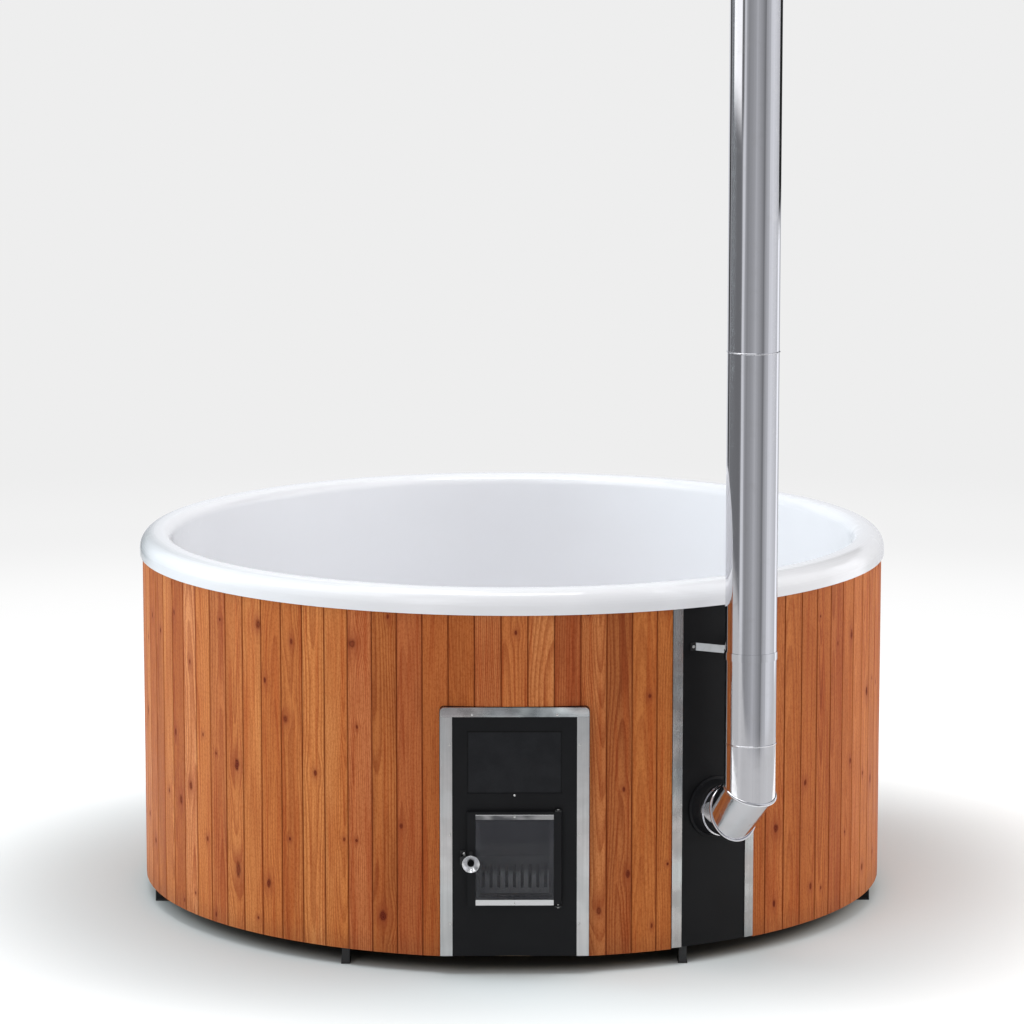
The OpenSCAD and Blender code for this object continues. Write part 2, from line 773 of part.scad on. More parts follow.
keeper_w = 14.5;
keeper_z = door_mid - 10;
keeper_h = 31;
keeper_t = 2;
keeper_screw_x = -keeper_x - 4;
keeper_screw_z = keeper_z + keeper_h - 8;

// bracket beside the door with a lip in front of the turned latch cam
module latch_keeper() color([0.1, 0.1, 0.1]) {
    out = -keeper_x - keeper_w;
    lip_depth = cam_depth + cam_t + 1;
    lip_t = 2.4;
    lip_top = keeper_z + 20;
    difference() {
        union() {
            front_block(out, -keeper_x, keeper_z, keeper_z + keeper_h, 0, keeper_t);
            front_block(out, out + lip_t, keeper_z, lip_top, 0, lip_depth + lip_t);
            front_block(out, -keeper_x, keeper_z, lip_top, lip_depth, lip_depth + lip_t);
        }
        screw_hole(keeper_screw_x, keeper_screw_z);
    }
}

module keeper_screw() color([0.85, 0.85, 0.85])
    on_front(keeper_screw_x, keeper_t, keeper_screw_z) screw([4, 2.4], screw_shank_r, keeper_t - fit / 2);

// ---------------------------------------------------------------- door

// the door's outline, rounded about its hinge axis, from height z0 to z1
module door_slab(z0, z1) translate([0, -front_r, z0]) linear_extrude(z1 - z0) union() {
    translate([-door_w / 2, -door_face]) square([door_w / 2 + hinge_x, door_t]);
    intersection() {
        translate([hinge_x, -hinge_depth]) circle(hinge_round, $fn = small_fn);
        translate([hinge_x - past, -door_face]) square([2 * hinge_round, door_t]);
    }
}

// a rectangular ring around the window, between two distances from its edge
module window_ring(near, far, d0, d1) difference() {
    front_slab(window_w + 2 * far, window_z - far, window_top + far, d0, d1);
    front_slab(window_w + 2 * near, window_z - near, window_top + near, d0 - past, d1 + past);
}

strip_screw_z = [strip_lo_top - lower_strip_h / 2 - 1, strip_hi_z + upper_strip_h / 2 + 1];
strip_screw_r = 1.6;
strip_screw_len = 7;

module strip_screw_holes() for (z = strip_screw_z)
    on_front(0, door_face + strip_t - strip_screw_len - fit, z)
        cylinder(h = 2 * strip_screw_len, r = strip_screw_r + hole_play, $fn = small_fn);

module door_frame() color([0.1, 0.1, 0.11]) difference() {
    door_slab(door_z, door_top);
    front_slab(window_w, window_z, window_top, 0, door_face + past);
    front_slab(glass_w + 2 * fit, glass_z - fit, glass_top + fit, glass_depth - fit, door_face + past);
    window_ring(seal_inset, seal_inset + seal_w, 0, door_gap + seal_groove);
    // corner notch for the lower hinge lug
    front_block(hinge_x - lug_w / 2 - 5, door_w, door_z - past, door_z + notch_h, 0, door_face + past);
    hinge_axis(door_top - pin_depth - 1, door_top + past, pin_r + running);
    hinge_axis(door_z, door_z + notch_h + pin_depth + 1, pin_r + running);
    on_front(-handle_x, 0, door_mid) {
        cylinder(h = door_face + past, r = shaft_r + running, $fn = small_fn);
        cylinder(h = door_gap + head_t + 2 * fit, r = head_r + fit, $fn = small_fn);
    }
    strip_screw_holes();
}

module door_glass() color([0.2, 0.22, 0.25, 0.5])
    front_slab(glass_w, glass_z, glass_top, glass_depth, door_face);

module glass_strips() color([0.82, 0.82, 0.82]) difference() {
    union() {
        front_slab(glass_w, strip_lo_top - lower_strip_h, strip_lo_top, door_face, door_face + strip_t);
        front_slab(glass_w, strip_hi_z, strip_hi_z + upper_strip_h, door_face, door_face + strip_t);
    }
    strip_screw_holes();
}

module strip_screws() color([0.7, 0.7, 0.7]) for (z = strip_screw_z)
    on_front(0, door_face + strip_t, z) screw([2.8, 1.5], strip_screw_r, strip_screw_len);

module door_seal() color([0.2, 0.2, 0.2])
    window_ring(seal_inset + fit, seal_inset + seal_w - fit, fit, door_gap + seal_groove);

// ---------------------------------------------------------------- handle

// shaft through the door, with a sunk head behind it and the latch cam in front of it
module handle_shaft() color([0.12, 0.12, 0.12]) {
    on_front(-handle_x, door_gap + fit, door_mid) cylinder(h = head_t, r = head_r, $fn = small_fn);
    on_front(-handle_x, door_gap + fit, door_mid)
        cylinder(h = knob_depth + thread_end - door_gap - fit, r = shaft_r, $fn = small_fn);
    on_front(-handle_x, cam_depth, door_mid) linear_extrude(cam_t) union() {
        circle(cam_root_r, $fn = small_fn);
        translate([-cam_tip_r, 0]) square([2 * cam_tip_r, cam_len - cam_tip_r]);
        translate([0, cam_len - cam_tip_r]) circle(cam_tip_r, $fn = small_fn);
    }
}

// hollow flared knob: its radius grows with the 1.8th power of the way along it
module handle_knob() color([0.85, 0.85, 0.86]) on_front(-handle_x, knob_depth, door_mid) {
    steps = 10;
    flare = [for (i = [0 : steps]) let (u = i / steps)
        [knob_root_r + (knob_r - knob_root_r) * pow(u, 1.8), knob_floor + (knob_len - knob_floor) * u]];
    rotate_extrude($fn = round_fn) polygon(concat(
        [[shaft_r + running, 0], [knob_root_r, 0]], flare,
        reversed(moved_left(flare, knob_t)), [[shaft_r + running, knob_floor]]
    ));
}

// cap nut in the knob's mouth, screwed on the shaft's end
module handle_nut() color([0.04, 0.04, 0.04]) {
    seat = knob_depth + knob_floor + nut_seat;
    nut_h = 7.5;
    thread_h = 6.2;
    on_front(-handle_x, seat, door_mid) difference() {
        cylinder(h = nut_h, r = knob_root_r - knob_t - 0.5, $fn = small_fn);
        translate([0, 0, -past]) cylinder(h = thread_h + past, r = shaft_r + running, $fn = small_fn);
    }
}

// ---------------------------------------------------------------- heater body

module water_pipe_path(z, r) translate([0, jacket_back - 2 * jacket_t, z]) rotate([-90, 0, 0])
    cylinder(h = niche_back - jacket_back + 60, r = r, $fn = round_fn);

// from the firebox to the elbow: out sideways, then round to the flue's azimuth
module smoke_duct() color([0.5, 0.5, 0.5]) translate([0, 0, outlet_z]) rotate([90, 0, 0]) bent_pipe([
    [box_w / 2 - firebox_t, -duct_y], [duct_x, -duct_y], duct_end * [sin(flue_az), cos(flue_az)]
], duct_r, duct_t);

// the bore in a plate for the duct's first leg
module duct_hole(x0, x1) rod([0, duct_y, outlet_z], 0, x0, x1, duct_r + fit);

module water_jacket() color([0.6, 0.6, 0.6]) difference() {
    translate([-jacket_w / 2, jacket_y, jacket_z]) cube([jacket_w, jacket_d, jacket_top_z - jacket_z]);
    translate([-jacket_w / 2 + jacket_t, jacket_y + jacket_t, jacket_z + jacket_t])
        cube([jacket_w - 2 * jacket_t, jacket_d - 2 * jacket_t, jacket_top_z - jacket_z - 2 * jacket_t]);
    translate([-fire_w / 2, jacket_y - past, fire_z]) cube([fire_w, jacket_t + 2 * past, fire_h]);
    duct_hole(box_w / 2, jacket_w);
    for (z = [lower_pipe_z, upper_pipe_z]) water_pipe_path(z, water_pipe_r + fit);
}

module firebox() color([0.25, 0.24, 0.23]) {
    depth = box_back - box_y;
    difference() {
        translate([-box_w / 2, box_y, box_z]) cube([box_w, depth, box_top - box_z]);
        translate([-box_w / 2 + firebox_t, box_y - past, box_z + firebox_t])
            cube([box_w - 2 * firebox_t, depth - firebox_t + past, box_top - box_z - 2 * firebox_t]);
        duct_hole(0, box_w);
    }
    // ledges that carry the grate
    for (side = [-1, 1]) translate([side * ledge_x - ledge_w / 2, box_y, grate_z - ledge_w])
        cube([ledge_w, depth - firebox_t, ledge_w]);
}

ledge_w = 12;
ledge_x = box_w / 2 - firebox_t - ledge_w / 2;
grate_t = 8;
grate_z = fire_z - 2 * grate_t;

module door_throat() color([0.15, 0.15, 0.15]) difference() {
    front_slab(fire_w - 2 * fit, fire_z + fit, fire_z + fire_h - fit, -panel_t - jacket_gap - jacket_t, -0.5);
    front_slab(fire_w - 2 * fit - 2 * throat_t, fire_z + fit + throat_t, fire_z + fire_h - fit - throat_t,
        -panel_t - jacket_gap - jacket_t - past, past);
}

module grate() color([0.2, 0.2, 0.2]) {
    w = box_w - 2 * firebox_t - 2;
    front_y = box_y + 8;
    depth = box_back - firebox_t - 4 - front_y;
    slots = 9;
    slot_pitch = 18;
    slot_w = 9;
    front_rim = 62;
    rear_rim = 40;
    difference() {
        translate([-w / 2, front_y, grate_z]) cube([w, depth, grate_t]);
        for (i = [0 : slots - 1])
            translate([(i - (slots - 1) / 2) * slot_pitch - slot_w / 2, front_y + front_rim, grate_z - past])
                cube([slot_w, depth - front_rim - rear_rim, grate_t + 2 * past]);
    }
}

// slotted plate standing on the grate behind the door, that holds the embers back
module ember_guard() color([0.3, 0.3, 0.3]) {
    w = box_w - 2 * firebox_t - 6;
    guard_t = 5;
    guard_h = 100;
    slots = 9;
    slot_pitch = 20;
    slot_w = 8;
    slot_z = 16;
    slot_h = 62;
    translate([0, box_y + 34, grate_z + grate_t]) difference() {
        translate([-w / 2, 0, 0]) cube([w, guard_t, guard_h]);
        for (i = [0 : slots - 1]) translate([(i - (slots - 1) / 2) * slot_pitch - slot_w / 2, -past, slot_z])
            cube([slot_w, guard_t + 2 * past, slot_h]);
    }
}

flange_r = water_pipe_r + 16;
flange_t = 8;
water_pipe_t = 2;
water_pipe_proud = 4;

module water_pipes() color([0.75, 0.75, 0.75]) for (z = [lower_pipe_z, upper_pipe_z])
    translate([0, jacket_back - jacket_t, z]) rotate([-90, 0, 0])
        tube(water_pipe_r, water_pipe_r - water_pipe_t,
            niche_back + liner_t - jacket_back + jacket_t + flange_t + water_pipe_proud);

grille_t = 3;

// six holes on a circle and one in its middle, right through a grille that starts at z = 0
module seven_holes(circle_r, r) for (i = [0 : 6]) rotate(i * 60) translate([i == 6 ? 0 : circle_r, 0, -past])
    cylinder(h = 3 * grille_t + 2 * past, r = r, $fn = small_fn);

// a ring around a water pipe, from y backwards
module pipe_ring(y, z, r) translate([0, y, z]) rotate([-90, 0, 0]) tube(r, water_pipe_r + fit, flange_t);

// a ring on the water side of the liner and a smaller one on its dry side
module pipe_flanges() color([0.85, 0.85, 0.86]) for (z = [lower_pipe_z, upper_pipe_z]) {
    pipe_ring(niche_back + liner_t, z, flange_r);
    pipe_ring(niche_back - flange_t, z, flange_r - 4);
}

module water_grilles() color([0.85, 0.85, 0.86]) for (z = [lower_pipe_z, upper_pipe_z])
    translate([0, niche_back + liner_t + flange_t + water_pipe_proud, z]) rotate([-90, 0, 0]) difference() {
        cylinder(h = grille_t, r = water_pipe_r + 4, $fn = round_fn);
        seven_holes(0.6 * water_pipe_r, 3.5);
    }

// ---------------------------------------------------------------- flue

flue_panel_z = frame_top + 3;
flue_panel_top = lip_z - 1;

// a curved strip of the wall between two radii and two angles from the flue
module wall_arc(r0, r1, a0, a1) intersection() {
    translate([0, 0, flue_panel_z]) tube(r1, r0, flue_panel_top - flue_panel_z, ring_fn);
    flue_wedge(a0, a1);
}

module flue_panel() color([0.09, 0.09, 0.1]) difference() {
    half = flue_half_deg - 2 * fit_deg;
    wall_arc(tub_r - flue_panel_t, tub_r, -half, half);
    in_flue_frame() rod([0, 0, outlet_z], 0, tub_r - 50, tub_r + 50, duct_r + 1);
    bracket_screw_holes();
}

// angled strips that cover the joints between the panel and the boards
module flue_trims() color([0.78, 0.78, 0.77]) for (side = [-1, 1]) difference() {
    out = side * flue_half_deg;
    in = side * (flue_half_deg - flue_trim_deg);
    edge = side * (flue_half_deg - trim_t / tub_r * 180 / PI);
    face = tub_r + fit;
    wall_arc(tub_r - board_t, face + trim_t, min(in, out), max(in, out));
    intersection() {
        cylinder(h = rim_top, r = face, $fn = ring_fn);
        flue_wedge(min(in - side, edge), max(in - side, edge));
    }
}

collar_edge = 4;

// black collar on the panel: a flat flange and a tapering hub
module flue_collar() color([0.05, 0.05, 0.05]) in_flue_frame()
    translate([tub_r + fit, 0, outlet_z]) rotate([0, 90, 0]) rotate_extrude($fn = round_fn) polygon([
        [duct_r + fit, 0], [collar_r, 0], [collar_r, collar_edge],
        [collar_r - 1.5 * collar_edge, 1.5 * collar_edge], [flue_r + 3, collar_len - collar_edge],
        [flue_r + 1, collar_len], [duct_r + fit, collar_len]
    ]);

// narrow band round the elbow's foot
module elbow_clamp() color([0.84, 0.84, 0.85]) in_flue_frame()
    translate([elbow_s + band_gap, 0, outlet_z]) rotate([0, 90, 0])
        tube(flue_r + fit + clamp_t, flue_r + fit, band_w);

band_gap = 3;
band_w = 9;

// level out of the wall, raised by 45 degrees, then upright
module flue_elbow() color([0.84, 0.84, 0.85]) in_flue_frame() bent_pipe([
    [elbow_s, outlet_z], [mitre_s, outlet_z], [pipe_s, mitre_z], [pipe_s, lower_joint_z]
], flue_r, flue_t);

// a pipe standing on a joint, with a narrow spigot into the piece below and a bead at its foot
module flue_pipe(z) color([0.84, 0.84, 0.85]) on_pipe_axis(z) {
    spigot_r = flue_r - flue_t - fit;
    seat = 0.1;
    root = 6;
    rotate_extrude($fn = round_fn) polygon(concat(
        [[spigot_r - flue_t, -spigot_len], [spigot_r, -spigot_len], [spigot_r, seat], [flue_r, seat]],
        arc([flue_r, seat + bead_r], bead_r, -90, 90, 8),
        [[flue_r, pipe_len], [flue_r - flue_t, pipe_len], [flue_r - flue_t, root], [spigot_r - flue_t, root]]
    ));
}

module flue_lower_pipe() flue_pipe(lower_joint_z);

module flue_upper_pipe() flue_pipe(upper_joint_z);

bracket_foot_y = 62;
bracket_screw_y = 69;
bracket_toe_y = 77;
bracket_off = 1.5;
strap_t = 2;
bracket_mid_z = bracket_z + bracket_h / 2;

module bracket_screw_holes() in_flue_frame() for (side = [-1, 1])
    rod([tub_r, side * bracket_screw_y, bracket_mid_z], 0, -30, 30, screw_shank_r + hole_play);

// where the curved wall stands at a distance y along it
function wall_s(y) = sqrt(tub_r * tub_r - y * y);

// bent strap: two feet on the panel, two struts, and a middle tab behind the pipe clamp
module flue_bracket() color([0.8, 0.8, 0.79]) {
    foot = [wall_s(bracket_foot_y) + bracket_off, bracket_foot_y];
    toe = [wall_s(bracket_toe_y) + bracket_off, bracket_toe_y];
    half = [toe, foot, [clamp_back - strap_t, 13]];
    line = concat(half, [for (p = reversed(half)) [p[0], -p[1]]]);
    difference() {
        in_flue_frame() translate([0, 0, bracket_z]) linear_extrude(bracket_h) polygon(sheet(line, strap_t));
        bracket_screw_holes();
        clamp_bolt_hole();
    }
}

module clamp_bolt_hole() in_flue_frame()
    rod([clamp_back, 0, bracket_mid_z], 0, -30, clamp_bolt_len, clamp_bolt_r + hole_play);

// band around the pipe with a block that bolts to the bracket
module pipe_clamp() color([0.84, 0.84, 0.85]) difference() {
    ear_w = 16;
    inside = flue_r + fit;
    union() {
        on_pipe_axis(bracket_z) cylinder(h = bracket_h, r = inside + clamp_t, $fn = round_fn);
        in_flue_frame() translate([clamp_back, -ear_w / 2, bracket_z])
            cube([pipe_s - flue_r - clamp_back, ear_w, bracket_h]);
    }
    on_pipe_axis(bracket_z - past) cylinder(h = bracket_h + 2 * past, r = inside, $fn = round_fn);
    clamp_bolt_hole();
}

module bracket_screws() color([0.7, 0.7, 0.7]) in_flue_frame() {
    head_s = wall_s(bracket_screw_y) + bracket_off + strap_t + 0.7;
    for (side = [-1, 1]) translate([head_s, side * bracket_screw_y, bracket_mid_z]) rotate([0, 90, 0])
        screw([4, 2.6], screw_shank_r, screw_len + strap_t);
    translate([clamp_back - strap_t - 0.1, 0, bracket_mid_z]) rotate([0, -90, 0])
        screw([5, 4], clamp_bolt_r, clamp_bolt_len);
}

// conical hat on three straps above a collar around the pipe's top
module rain_cap() color([0.84, 0.84, 0.85]) {
    sheet_t = 2;
    skirt_h = 12;
    band_h = 45;
    strap_w = 20;
    band_r = flue_r + fit;
    edge_z = pipe_top + cap_rise;
    hat = [[0, edge_z + cap_h], [cap_r, edge_z]];
    on_pipe_axis(0) {
        rotate_extrude($fn = round_fn)
            polygon(concat(hat, [[cap_r, edge_z - skirt_h], [cap_r - sheet_t, edge_z - skirt_h]],
                [[cap_r - sheet_t, edge_z - sheet_t], [0, edge_z + cap_h - sheet_t]]));
        translate([0, 0, pipe_top - band_h]) tube(band_r + sheet_t, band_r, band_h);
        for (turn = [0, 120, 240]) rotate(turn) difference() {
            translate([band_r + sheet_t / 2, -strap_w / 2, pipe_top - band_h])
                cube([sheet_t * 1.5, strap_w, band_h + cap_rise + cap_h]);
            rotate_extrude($fn = round_fn) polygon([
                [0, edge_z + cap_h - sheet_t / 2], [cap_r, edge_z - sheet_t / 2], [cap_r, edge_z + 2 * cap_h],
                [0, edge_z + 2 * cap_h]
            ]);
        }
    }
}

// ---------------------------------------------------------------- drain

// a sleeve through the floor under a flat strainer with seven holes
module floor_drain() color([0.8, 0.8, 0.8]) translate([0, drain_y, 0]) difference() {
    rose_t = 4;
    rose_r = drain_body_r + 18;
    union() {
        translate([0, 0, frame_top]) cylinder(h = floor_z - frame_top, r = drain_body_r, $fn = round_fn);
        translate([0, 0, floor_z]) cylinder(h = rose_t, r = rose_r, $fn = round_fn);
    }
    translate([0, 0, -past]) cylinder(h = floor_z + past, r = drain_r + fit, $fn = round_fn);
    translate([0, 0, floor_z]) seven_holes(10, 3);
}

// a riser under the floor drain and a level pipe to the valve behind the tub
module drain_pipe() color([0.5, 0.5, 0.5]) translate([0, drain_y, 0]) {
    run = valve_y - drain_y + valve_socket;
    riser_top = floor_z - 25;
    end_wall = drain_r + 2;
    difference() {
        union() {
            translate([0, 0, drain_z]) cylinder(h = riser_top - drain_z, r = drain_r, $fn = round_fn);
            translate([0, -end_wall, drain_z]) rotate([-90, 0, 0])
                cylinder(h = run + end_wall, r = drain_r, $fn = round_fn);
        }
        translate([0, 0, drain_z]) cylinder(h = floor_z, r = drain_bore_r, $fn = round_fn);
        translate([0, -drain_bore_r, drain_z]) rotate([-90, 0, 0])
            cylinder(h = run + drain_bore_r + past, r = drain_bore_r, $fn = round_fn);
    }
}

module along_valve(y, h, r)
    translate([0, y, drain_z]) rotate([-90, 0, 0]) cylinder(h = h, r = r, $fn = round_fn);

module valve_body() color([0.85, 0.85, 0.83]) difference() {
    union() {
        along_valve(valve_y, valve_len, valve_r);
        along_valve(valve_y + valve_len, hose_spigot_len, drain_r);
        translate([0, stem_y, drain_z]) cylinder(h = valve_r + 4, r = stem_r + 5, $fn = small_fn);
    }
    along_valve(valve_y - past, valve_socket + past, drain_r + fit);
    along_valve(valve_y, valve_len + hose_spigot_len + past, valve_bore_r);
    translate([0, stem_y, drain_z]) sphere(r = ball_r + fit, $fn = round_fn);
    translate([0, stem_y, drain_z]) cylinder(h = valve_r + 8, r = stem_r + running, $fn = small_fn);
}

// ball, closed at rest: its bore lies across the pipe
module valve_ball() color([0.88, 0.88, 0.88]) translate([0, stem_y, drain_z]) difference() {
    sphere(r = ball_r, $fn = round_fn);
    rotate([0, 90, 0]) translate([0, 0, -big / 2]) cylinder(h = big, r = valve_bore_r, $fn = round_fn);
    translate([-ball_r, -ball_r, ball_r - ball_flat]) cube(2 * ball_r);
}

// stem with the lever, which lies across the pipe at rest
module valve_lever() color([0.7, 0.1, 0.08]) translate([0, stem_y, 0]) {
    tip_r = 7;
    foot = drain_z + ball_r - ball_flat;
    stem_top = lever_z + lever_t + valve_nut_h + 2;
    translate([0, 0, foot]) cylinder(h = stem_top - foot, r = stem_r, $fn = small_fn);
    translate([0, 0, lever_z]) linear_extrude(lever_t) union() {
        circle(stem_r + 5, $fn = small_fn);
        translate([0, -tip_r]) square([lever_len - tip_r, 2 * tip_r]);
        translate([lever_len - tip_r, 0]) circle(tip_r, $fn = small_fn);
    }
}

module valve_nut() color([0.8, 0.8, 0.8]) translate([0, stem_y, lever_z + lever_t]) difference() {
    cylinder(h = valve_nut_h, r = 7.5, $fn = 6);
    translate([0, 0, -past]) cylinder(h = valve_nut_h + 2 * past, r = stem_r + running, $fn = small_fn);
}

// ---------------------------------------------------------------- nodes

foot_pads();
frame_rails();
cross_tubes();
tube_end_caps();
floor_deck();
floor_insulation();
liner();
rim_core();
wall_insulation();
bench_supports();
cladding_hoops();
cladding_front();
cladding_left();
cladding_right();
cladding_rear();
front_panel();
stove_side_trims();
stove_top_trim();
trim_screws();
cover_plate();
cover_screw();
hinge_lugs();
hinge_pins();
latch_keeper();
keeper_screw();
door_frame();
door_glass();
glass_strips();
strip_screws();
door_seal();
handle_shaft();
handle_knob();
handle_nut();
firebox();
water_jacket();
door_throat();
grate();
ember_guard();
water_pipes();
pipe_flanges();
water_grilles();
smoke_duct();
flue_panel();
flue_trims();
flue_collar();
elbow_clamp();
flue_elbow();
flue_lower_pipe();
flue_upper_pipe();
flue_bracket();
pipe_clamp();
bracket_screws();
rain_cap();
floor_drain();
drain_pipe();
valve_body();
valve_ball();
valve_lever();
valve_nut();
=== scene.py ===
"""Looks of the round, wood-clad hot tub with its built-in wood-fired heater.

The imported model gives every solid. This script adds the finishes, some finer pieces, the
studio and the camera. Metres, +Z up, the heater's door faces -Y.
"""

import math

import bmesh
import bpy
import numpy as np
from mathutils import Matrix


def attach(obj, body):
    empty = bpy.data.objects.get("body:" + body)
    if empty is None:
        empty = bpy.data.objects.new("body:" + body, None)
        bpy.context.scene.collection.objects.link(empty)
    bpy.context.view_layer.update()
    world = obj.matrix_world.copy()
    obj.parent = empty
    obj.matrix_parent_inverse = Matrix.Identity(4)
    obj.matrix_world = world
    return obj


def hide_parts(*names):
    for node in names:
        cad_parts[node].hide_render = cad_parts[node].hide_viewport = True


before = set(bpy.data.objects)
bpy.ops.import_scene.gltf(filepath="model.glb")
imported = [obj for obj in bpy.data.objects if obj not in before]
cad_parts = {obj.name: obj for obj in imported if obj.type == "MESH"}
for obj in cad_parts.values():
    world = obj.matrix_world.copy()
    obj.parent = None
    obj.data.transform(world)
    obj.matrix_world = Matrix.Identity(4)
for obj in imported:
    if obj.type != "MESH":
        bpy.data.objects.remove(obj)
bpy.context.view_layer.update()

FULL_TURN = 2 * np.pi

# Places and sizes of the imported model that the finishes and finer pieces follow, in metres
# and radians. OUT is a distance from the tub's upright axis, and R is a radius.
BOARD_COUNT = 94
BOARD_PITCH = FULL_TURN / BOARD_COUNT
BOARD_OUT = 1.0144
FLUE_AZ = math.radians(30.638)
PIPE_OUT, PIPE_R = 1.175, 0.066
PIPE_X, PIPE_Y = PIPE_OUT * math.sin(FLUE_AZ), -PIPE_OUT * math.cos(FLUE_AZ)
ELBOW_OUT, ELBOW_Z = 1.100, 0.409
UPRIGHT_Z = ELBOW_Z + (PIPE_OUT - ELBOW_OUT)
BRACKET_Z = 0.8355
HATCH_X, HATCH_FOOT, HATCH_HEAD = 0.1165, 0.4785, 0.6325
PANE_X, PANE_FOOT = 0.1, 0.198
KNOB_X, KNOB_Y, KNOB_Z = -0.1115, -1.0359, 0.3062

# Brightness of the studio: what falls on things, and the backdrop as it is seen.
WORLD_LIGHT, BACKDROP = 0.45, 0.855


# ---------------------------------------------------------------- shader helpers


class Tap:
    """An output socket of a finish. Python's operators on it add Math nodes."""

    def __init__(self, finish, socket):
        self.finish, self.socket = finish, socket

    def math(self, operation, *others):
        values = dict(enumerate((self, *others)))
        return self.finish.add("ShaderNodeMath", {"operation": operation}, values)

    def __add__(self, other):
        return self.math("ADD", other)

    __radd__ = __add__

    def __mul__(self, other):
        return self.math("MULTIPLY", other)

    __rmul__ = __mul__

    def __sub__(self, other):
        return self.math("SUBTRACT", other)

    def __rsub__(self, other):
        swapped = {0: other, 1: self}
        return self.finish.add("ShaderNodeMath", {"operation": "SUBTRACT"}, swapped)

    def __truediv__(self, other):
        return self.math("DIVIDE", other)

    def __abs__(self):
        return self.math("ABSOLUTE")

    def over(self, other):
        return self.math("GREATER_THAN", other)

    def ease(self, low, high):
        """0 below low, 1 above high, and smooth between them; low may be the larger."""
        if low > high:
            return 1 - self.ease(high, low)
        ranged = {"interpolation_type": "SMOOTHSTEP"}
        return self.finish.add("ShaderNodeMapRange", ranged, {0: self, 1: low, 2: high})

    def bell(self, width):
        """exp(-(value / width) squared)."""
        scaled = self / width
        return (scaled * scaled * -1).math("EXPONENT")


class Finish:
    """The nodes of a material, or of the world. The constants are set on the Principled
    shader's sockets."""

    def __init__(self, name, world=None, **constants):
        self.material = world or bpy.data.materials.new(name)
        self.material.use_nodes = True
        self.tree = self.material.node_tree
        self.tree.nodes.clear()
        self.constants = constants
        self.point = None

    def add(self, kind, settings=(), sockets=(), out=0):
        """A node of any kind: its settings first, then its sockets' values or links."""
        node = self.tree.nodes.new(kind)
        for key, value in dict(settings).items():
            if key == "stops":
                node.color_ramp.interpolation = "EASE"
                ramp = node.color_ramp.elements
                while len(ramp) < len(value):
                    ramp.new(0.5)
                for stop, (at, colour) in zip(ramp, value):
                    stop.position = at
                    stop.color = (*colour, 1)
            else:
                setattr(node, key, value)
        for key, value in dict(sockets).items():
            socket = node.inputs[key]
            if isinstance(value, Tap):
                self.tree.links.new(value.socket, socket)
            elif socket.type == "RGBA" and len(value) == 3:
                socket.default_value = (*value, 1)
            else:
                socket.default_value = value
        return Tap(self, node.outputs[out])

    def place(self):
        """The point's x, y and z in metres, as three numbers."""
        if self.point is None:
            spot = self.add("ShaderNodeTexCoord", out=3)
            axes = [self.add("ShaderNodeSeparateXYZ", (), {0: spot}, out=i) for i in range(3)]
            self.point = axes
        return self.point

    def vector(self, x, y, z):
        return self.add("ShaderNodeCombineXYZ", (), {0: x, 1: y, 2: z})

    def noise(self, x, y, z, detail=2.0, rough=0.5):
        """Smooth noise from 0 to 1 at a point given in noise units."""
        values = {
            "Vector": self.vector(x, y, z),
            "Scale": 1.0,
            "Detail": detail,
            "Roughness": rough,
        }
        return self.add("ShaderNodeTexNoise", (), values)

    def speckle(self, scale, detail=2.0, rough=0.5):
        """Noise that looks the same every way, with scale units to the metre."""
        x, y, z = self.place()
        return self.noise(x * scale, y * scale, z * scale, detail, rough)

    def dice(self, x, y=0.0, z=0.0):
        """Three random numbers for each whole-numbered x, y and z."""
        values = {"Vector": self.vector(x, y, z)}
        colour = self.add("ShaderNodeTexWhiteNoise", (), values, out=1)
        return [self.add("ShaderNodeSeparateColor", (), {0: colour}, out=i) for i in range(3)]

    def blend(self, share, a, b, kind="MIX"):
        """Colour a, going over to colour b as share goes from 0 to 1."""
        settings = {"data_type": "RGBA", "blend_type": kind}
        return self.add("ShaderNodeMix", settings, {0: share, 6: a, 7: b}, out=2)

    def bump(self, height, distance, strength=1.0, under=None):
        values = {"Height": height, "Distance": distance, "Strength": strength}
        if under is not None:
            values["Normal"] = under
        return self.add("ShaderNodeBump", (), values)

    def ramp(self, stops, value):
        """The colour at a value, from stops that each give a value and its colour."""
        return self.add("ShaderNodeValToRGB", {"stops": stops}, {0: value})

    def tinted(self, share, colour, tint):
        """A colour that is multiplied by a tint as share goes from 0 to 1."""
        return self.blend(share, colour, self.blend(1.0, colour, tint, "MULTIPLY"))

    def glow(self, colour, strength=1.0):
        """A shader that gives off light of its own."""
        return self.add("ShaderNodeEmission", (), {0: colour, 1: strength})

    def show(self, shader, output="ShaderNodeOutputMaterial"):
        """Links a shader to the surface of the material, or of the world."""
        end = self.tree.nodes.new(output)
        self.tree.links.new(shader.socket, end.inputs[0])
        return self.material

    def done(self, **links):
        """Sets the Principled shader's sockets, by name with _ for a space."""
        values = {**self.constants, **links}
        values = {key.replace("_", " "): value for key, value in values.items()}
        return self.show(self.add("ShaderNodeBsdfPrincipled", (), values))


# ---------------------------------------------------------------- finishes


